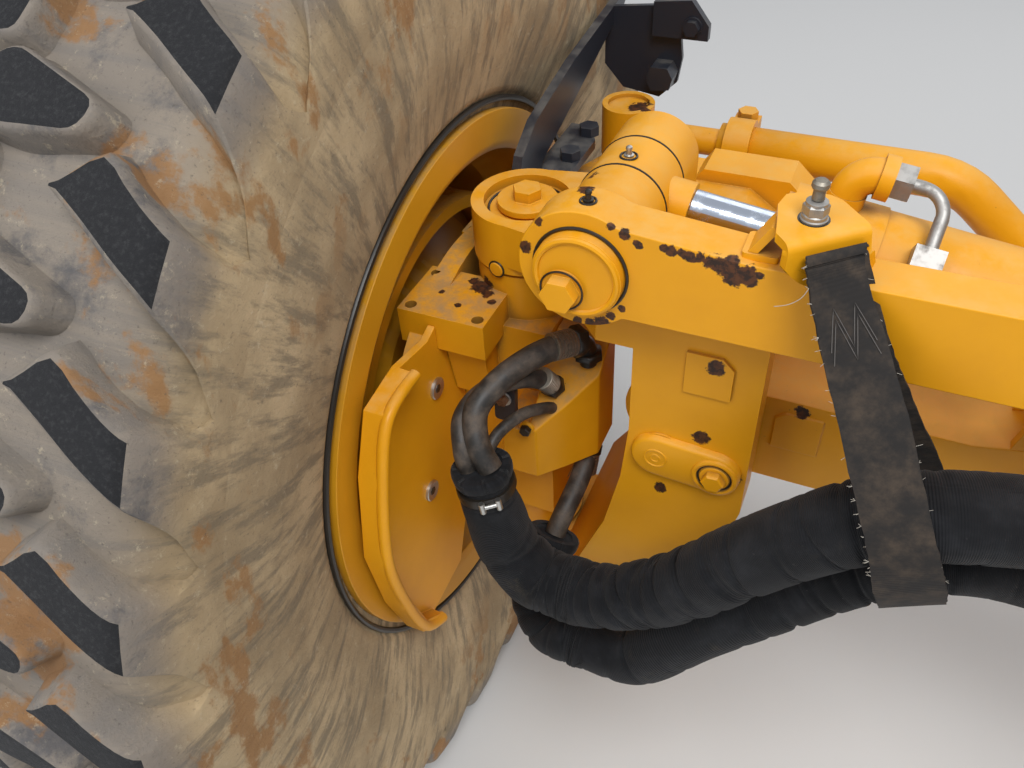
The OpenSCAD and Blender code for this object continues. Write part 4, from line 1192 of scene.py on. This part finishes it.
def add_lean_pin(side):
    """The lean pin, held by a round-ended plate with its bolt in a round seat."""
    parts = Parts()
    parts.add(*spun((LEAN_PIN_X, -152, 0), REAR, [(0, 0), (0, 26.5), (312, 26.5), (312, 0)], 40))
    parts.add(*spun((LEAN_PIN_X, 150, 0), REAR, rounded(10, 40, 2), 40))
    parts.add(*loft([[(x, y, z) for x, z in obround(*PLATE_LINE, r)] for y, r in PLATE_STEPS]))
    parts.add(*ring_round(DIMPLE_AT, FRONT, 12, 1.4))
    parts.add(*ring_round(DIMPLE_AT, FRONT, 5, 1.2))
    parts.add(*ring_round((BOLT_X, -159, BOLT_Z), FRONT, 22, 3.4))
    # Painted shade in the gap between the bolt's washer and its seat
    parts.add(*ring_round((BOLT_X, -159.2, BOLT_Z), FRONT, 18, 1.2), 1)
    parts.add(*spun((BOLT_X, -158, BOLT_Z), FRONT, rounded(4, 16, 1.2)))
    parts.add(*hexagon((BOLT_X, -161, BOLT_Z), FRONT, 22, 10, 0.2))
    piece = parts.make(f"lean_pin_{side}_dressed", [YELLOW, GREASE_AND_SHADE], side)
    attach(piece, f"yoke_{side}")
    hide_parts(f"lean_pin_{side}")


# Place and radius of the painted shade in the gap at the tyre's bead
BEAD_X = -855.5
BEAD_R = 368


def add_painted_gap_shade(side):
    """Painted shade: a dark ring in the gap between the tyre's bead and the rim's flange."""
    parts = Parts()
    parts.add(*ring_round((BEAD_X, 0, WHEEL_Z), MIDDLE, BEAD_R, 4, 120), GREASED_AND_SHADED)
    add_fittings("painted_bead_gap_shade", side, f"wheel_{side}", parts)


# Hub guard: its inner face, the edge that the lip follows, and its bolts
GUARD_FACE = -829
GUARD_LIP = [(-212, 82), (-273, 73), (-304, 9), (-327, -106), (-312, -214), (-283, -307), (-243, -345)]
GUARD_MIDDLE = (-160, -120)
GUARD_BOLTS = ((-148, 0), (-194, -137))
LIP_X = -813
LIP_INNER_X = -815
LIP_WIDTH = 12
WASHER = [(0, 0), (0, 14), (3, 14), (4, 13), (3, 9), (3, 0)]
CLAMP = [(-750, -14, 6), (-724, -14, 6), (-722, 40, 6), (-748, 46, 6)]


def add_knuckle_fittings(side):
    """The guard's rolled lip and bolts, and a clamp and plugs on the connection block."""
    parts = Parts()
    path = spline([(LIP_X, y, z) for y, z in GUARD_LIP], 6)
    parts.add(*tube(path, 7, 14))
    middle = Vector((0, *GUARD_MIDDLE))
    inner = [Vector(p) + (middle - Vector(p)).normalized() * LIP_WIDTH for p in path]
    parts.add(*tube([(LIP_INNER_X, p.y, p.z) for p in inner], 5, 12))
    for y, z in GUARD_BOLTS:
        parts.add(*spun((GUARD_FACE - 2, y, z), MIDDLE, WASHER, 28), ZINCED)
        parts.add(*hexagon((GUARD_FACE, y, z), MIDDLE, 10, 1.8, 0, 0.3), GREASED_AND_SHADED)
    parts.add(*prism(soft_outline(CLAMP), 1, -156, -148), BLACKED)
    parts.add(*spun((-737, -155, 22), FRONT, rounded(3, 10, 1), 24), ZINCED)
    parts.add(*hexagon((-737, -157, 22), FRONT, 13, 7, 0.2, 1), RUSTED)
    parts.add(*spun((-712, -149, -22), FRONT, rounded(4, 9, 1), 24))
    parts.add(*hexagon((-712, -152, -22), FRONT, 12, 8, 0.4, 1), GREASED_AND_SHADED)
    add_fittings("knuckle_fittings", side, f"knuckle_{side}", parts)


for side in SIDES:
    add_bar_fittings(side)
    add_yoke_fittings(side)
    add_knuckle_fittings(side)
    add_lean_pin(side)
    add_painted_gap_shade(side)
    add_main_sleeves(side)
    add_knuckle_end(side)
    add_tyre(side)
    add_bracket(side)
    add_strap(side)

# Pieces that keep their CAD shape: material and width of the rounded edge in millimetres
KEPT = [
    ("axle_beam", YELLOW, 3), ("lean_foot", YELLOW, 1.5), ("hose_bulkhead", YELLOW, 1),
    ("lean_foot_pin", YELLOW, 1), ("lean_bar", YELLOW, 4), ("lean_rod_eye", YELLOW, 1.5),
    ("tie_rod", YELLOW, 0), ("tie_ends", YELLOW, 1.5), ("lean_cylinder_barrel", YELLOW, 1.5),
    ("lean_cylinder_rod", CHROME, 1), ("lean_cylinder_pipe", STEEL, 1.5),
]
KEPT_PAIRS = [
    ("rim", YELLOW_PLAIN, 1.5), ("hub", YELLOW_PLAIN, 1.5), ("wheel_nuts", YELLOW_PLAIN, 1),
    ("knuckle", YELLOW_DUSTY, 3), ("kingpins", YELLOW, 1.5), ("yoke", YELLOW, 4),
    ("bar_pin", YELLOW, 1.5), ("motor_block", YELLOW_DUSTY, 3), ("hub_guard", YELLOW, 3),
    ("fender_bracket", BLACK, 1.5), ("fender", BLACK, 1.5), ("ball_stud", STEEL, 1),
]
for node, material, width in KEPT:
    soften(node, material, width)
for side in SIDES:
    for name, material, width in KEPT_PAIRS:
        soften(f"{name}_{side}", material, width)


# Floor, light and world
FLOOR_HALF = 30.0
# Lamps: place, what it faces, size in metres and power in watts
LAMPS = {
    "key": ((0.8, -2.2, 4.3), (-0.6, 0, 0), 2.0, 175),
    "fill": ((-3.0, -2.6, 2.6), (-0.4, 0, 0), 3.0, 55),
    "rear": ((0.5, 3.5, 2.5), (0, 0, 0), 3.0, 30),
}
SKY = (0.93, 0.95, 1.0, 1.0)
SKY_STRENGTH = 0.55


def add_floor():
    mesh = bpy.data.meshes.new("floor")
    square = ((-1, -1), (1, -1), (1, 1), (-1, 1))
    corners = [(x * FLOOR_HALF, y * FLOOR_HALF, FLOOR_Z * MM) for x, y in square]
    mesh.from_pydata(corners, [], [(0, 1, 2, 3)])
    mesh.materials.append(plain("floor", (0.62, 0.62, 0.61), 0.9))
    floor = bpy.data.objects.new("floor", mesh)
    bpy.context.scene.collection.objects.link(floor)


def add_lamp(name, at, aim, size, watts):
    data = bpy.data.lights.new(name, "AREA")
    data.size = size
    data.energy = watts
    lamp = bpy.data.objects.new(name, data)
    direction = Vector(aim) - Vector(at)
    lamp.matrix_world = Matrix.Translation(at) @ direction.to_track_quat("-Z", "Y").to_matrix().to_4x4()
    bpy.context.scene.collection.objects.link(lamp)


def add_world():
    world = bpy.data.worlds.new("studio")
    bpy.context.scene.world = world
    world.use_nodes = True
    back = world.node_tree.nodes["Background"]
    back.inputs["Color"].default_value = SKY
    back.inputs["Strength"].default_value = SKY_STRENGTH


add_floor()
add_world()
for name, (at, aim, size, watts) in LAMPS.items():
    add_lamp(name, at, aim, size, watts)

bpy.context.scene.view_settings.view_transform = "Standard"
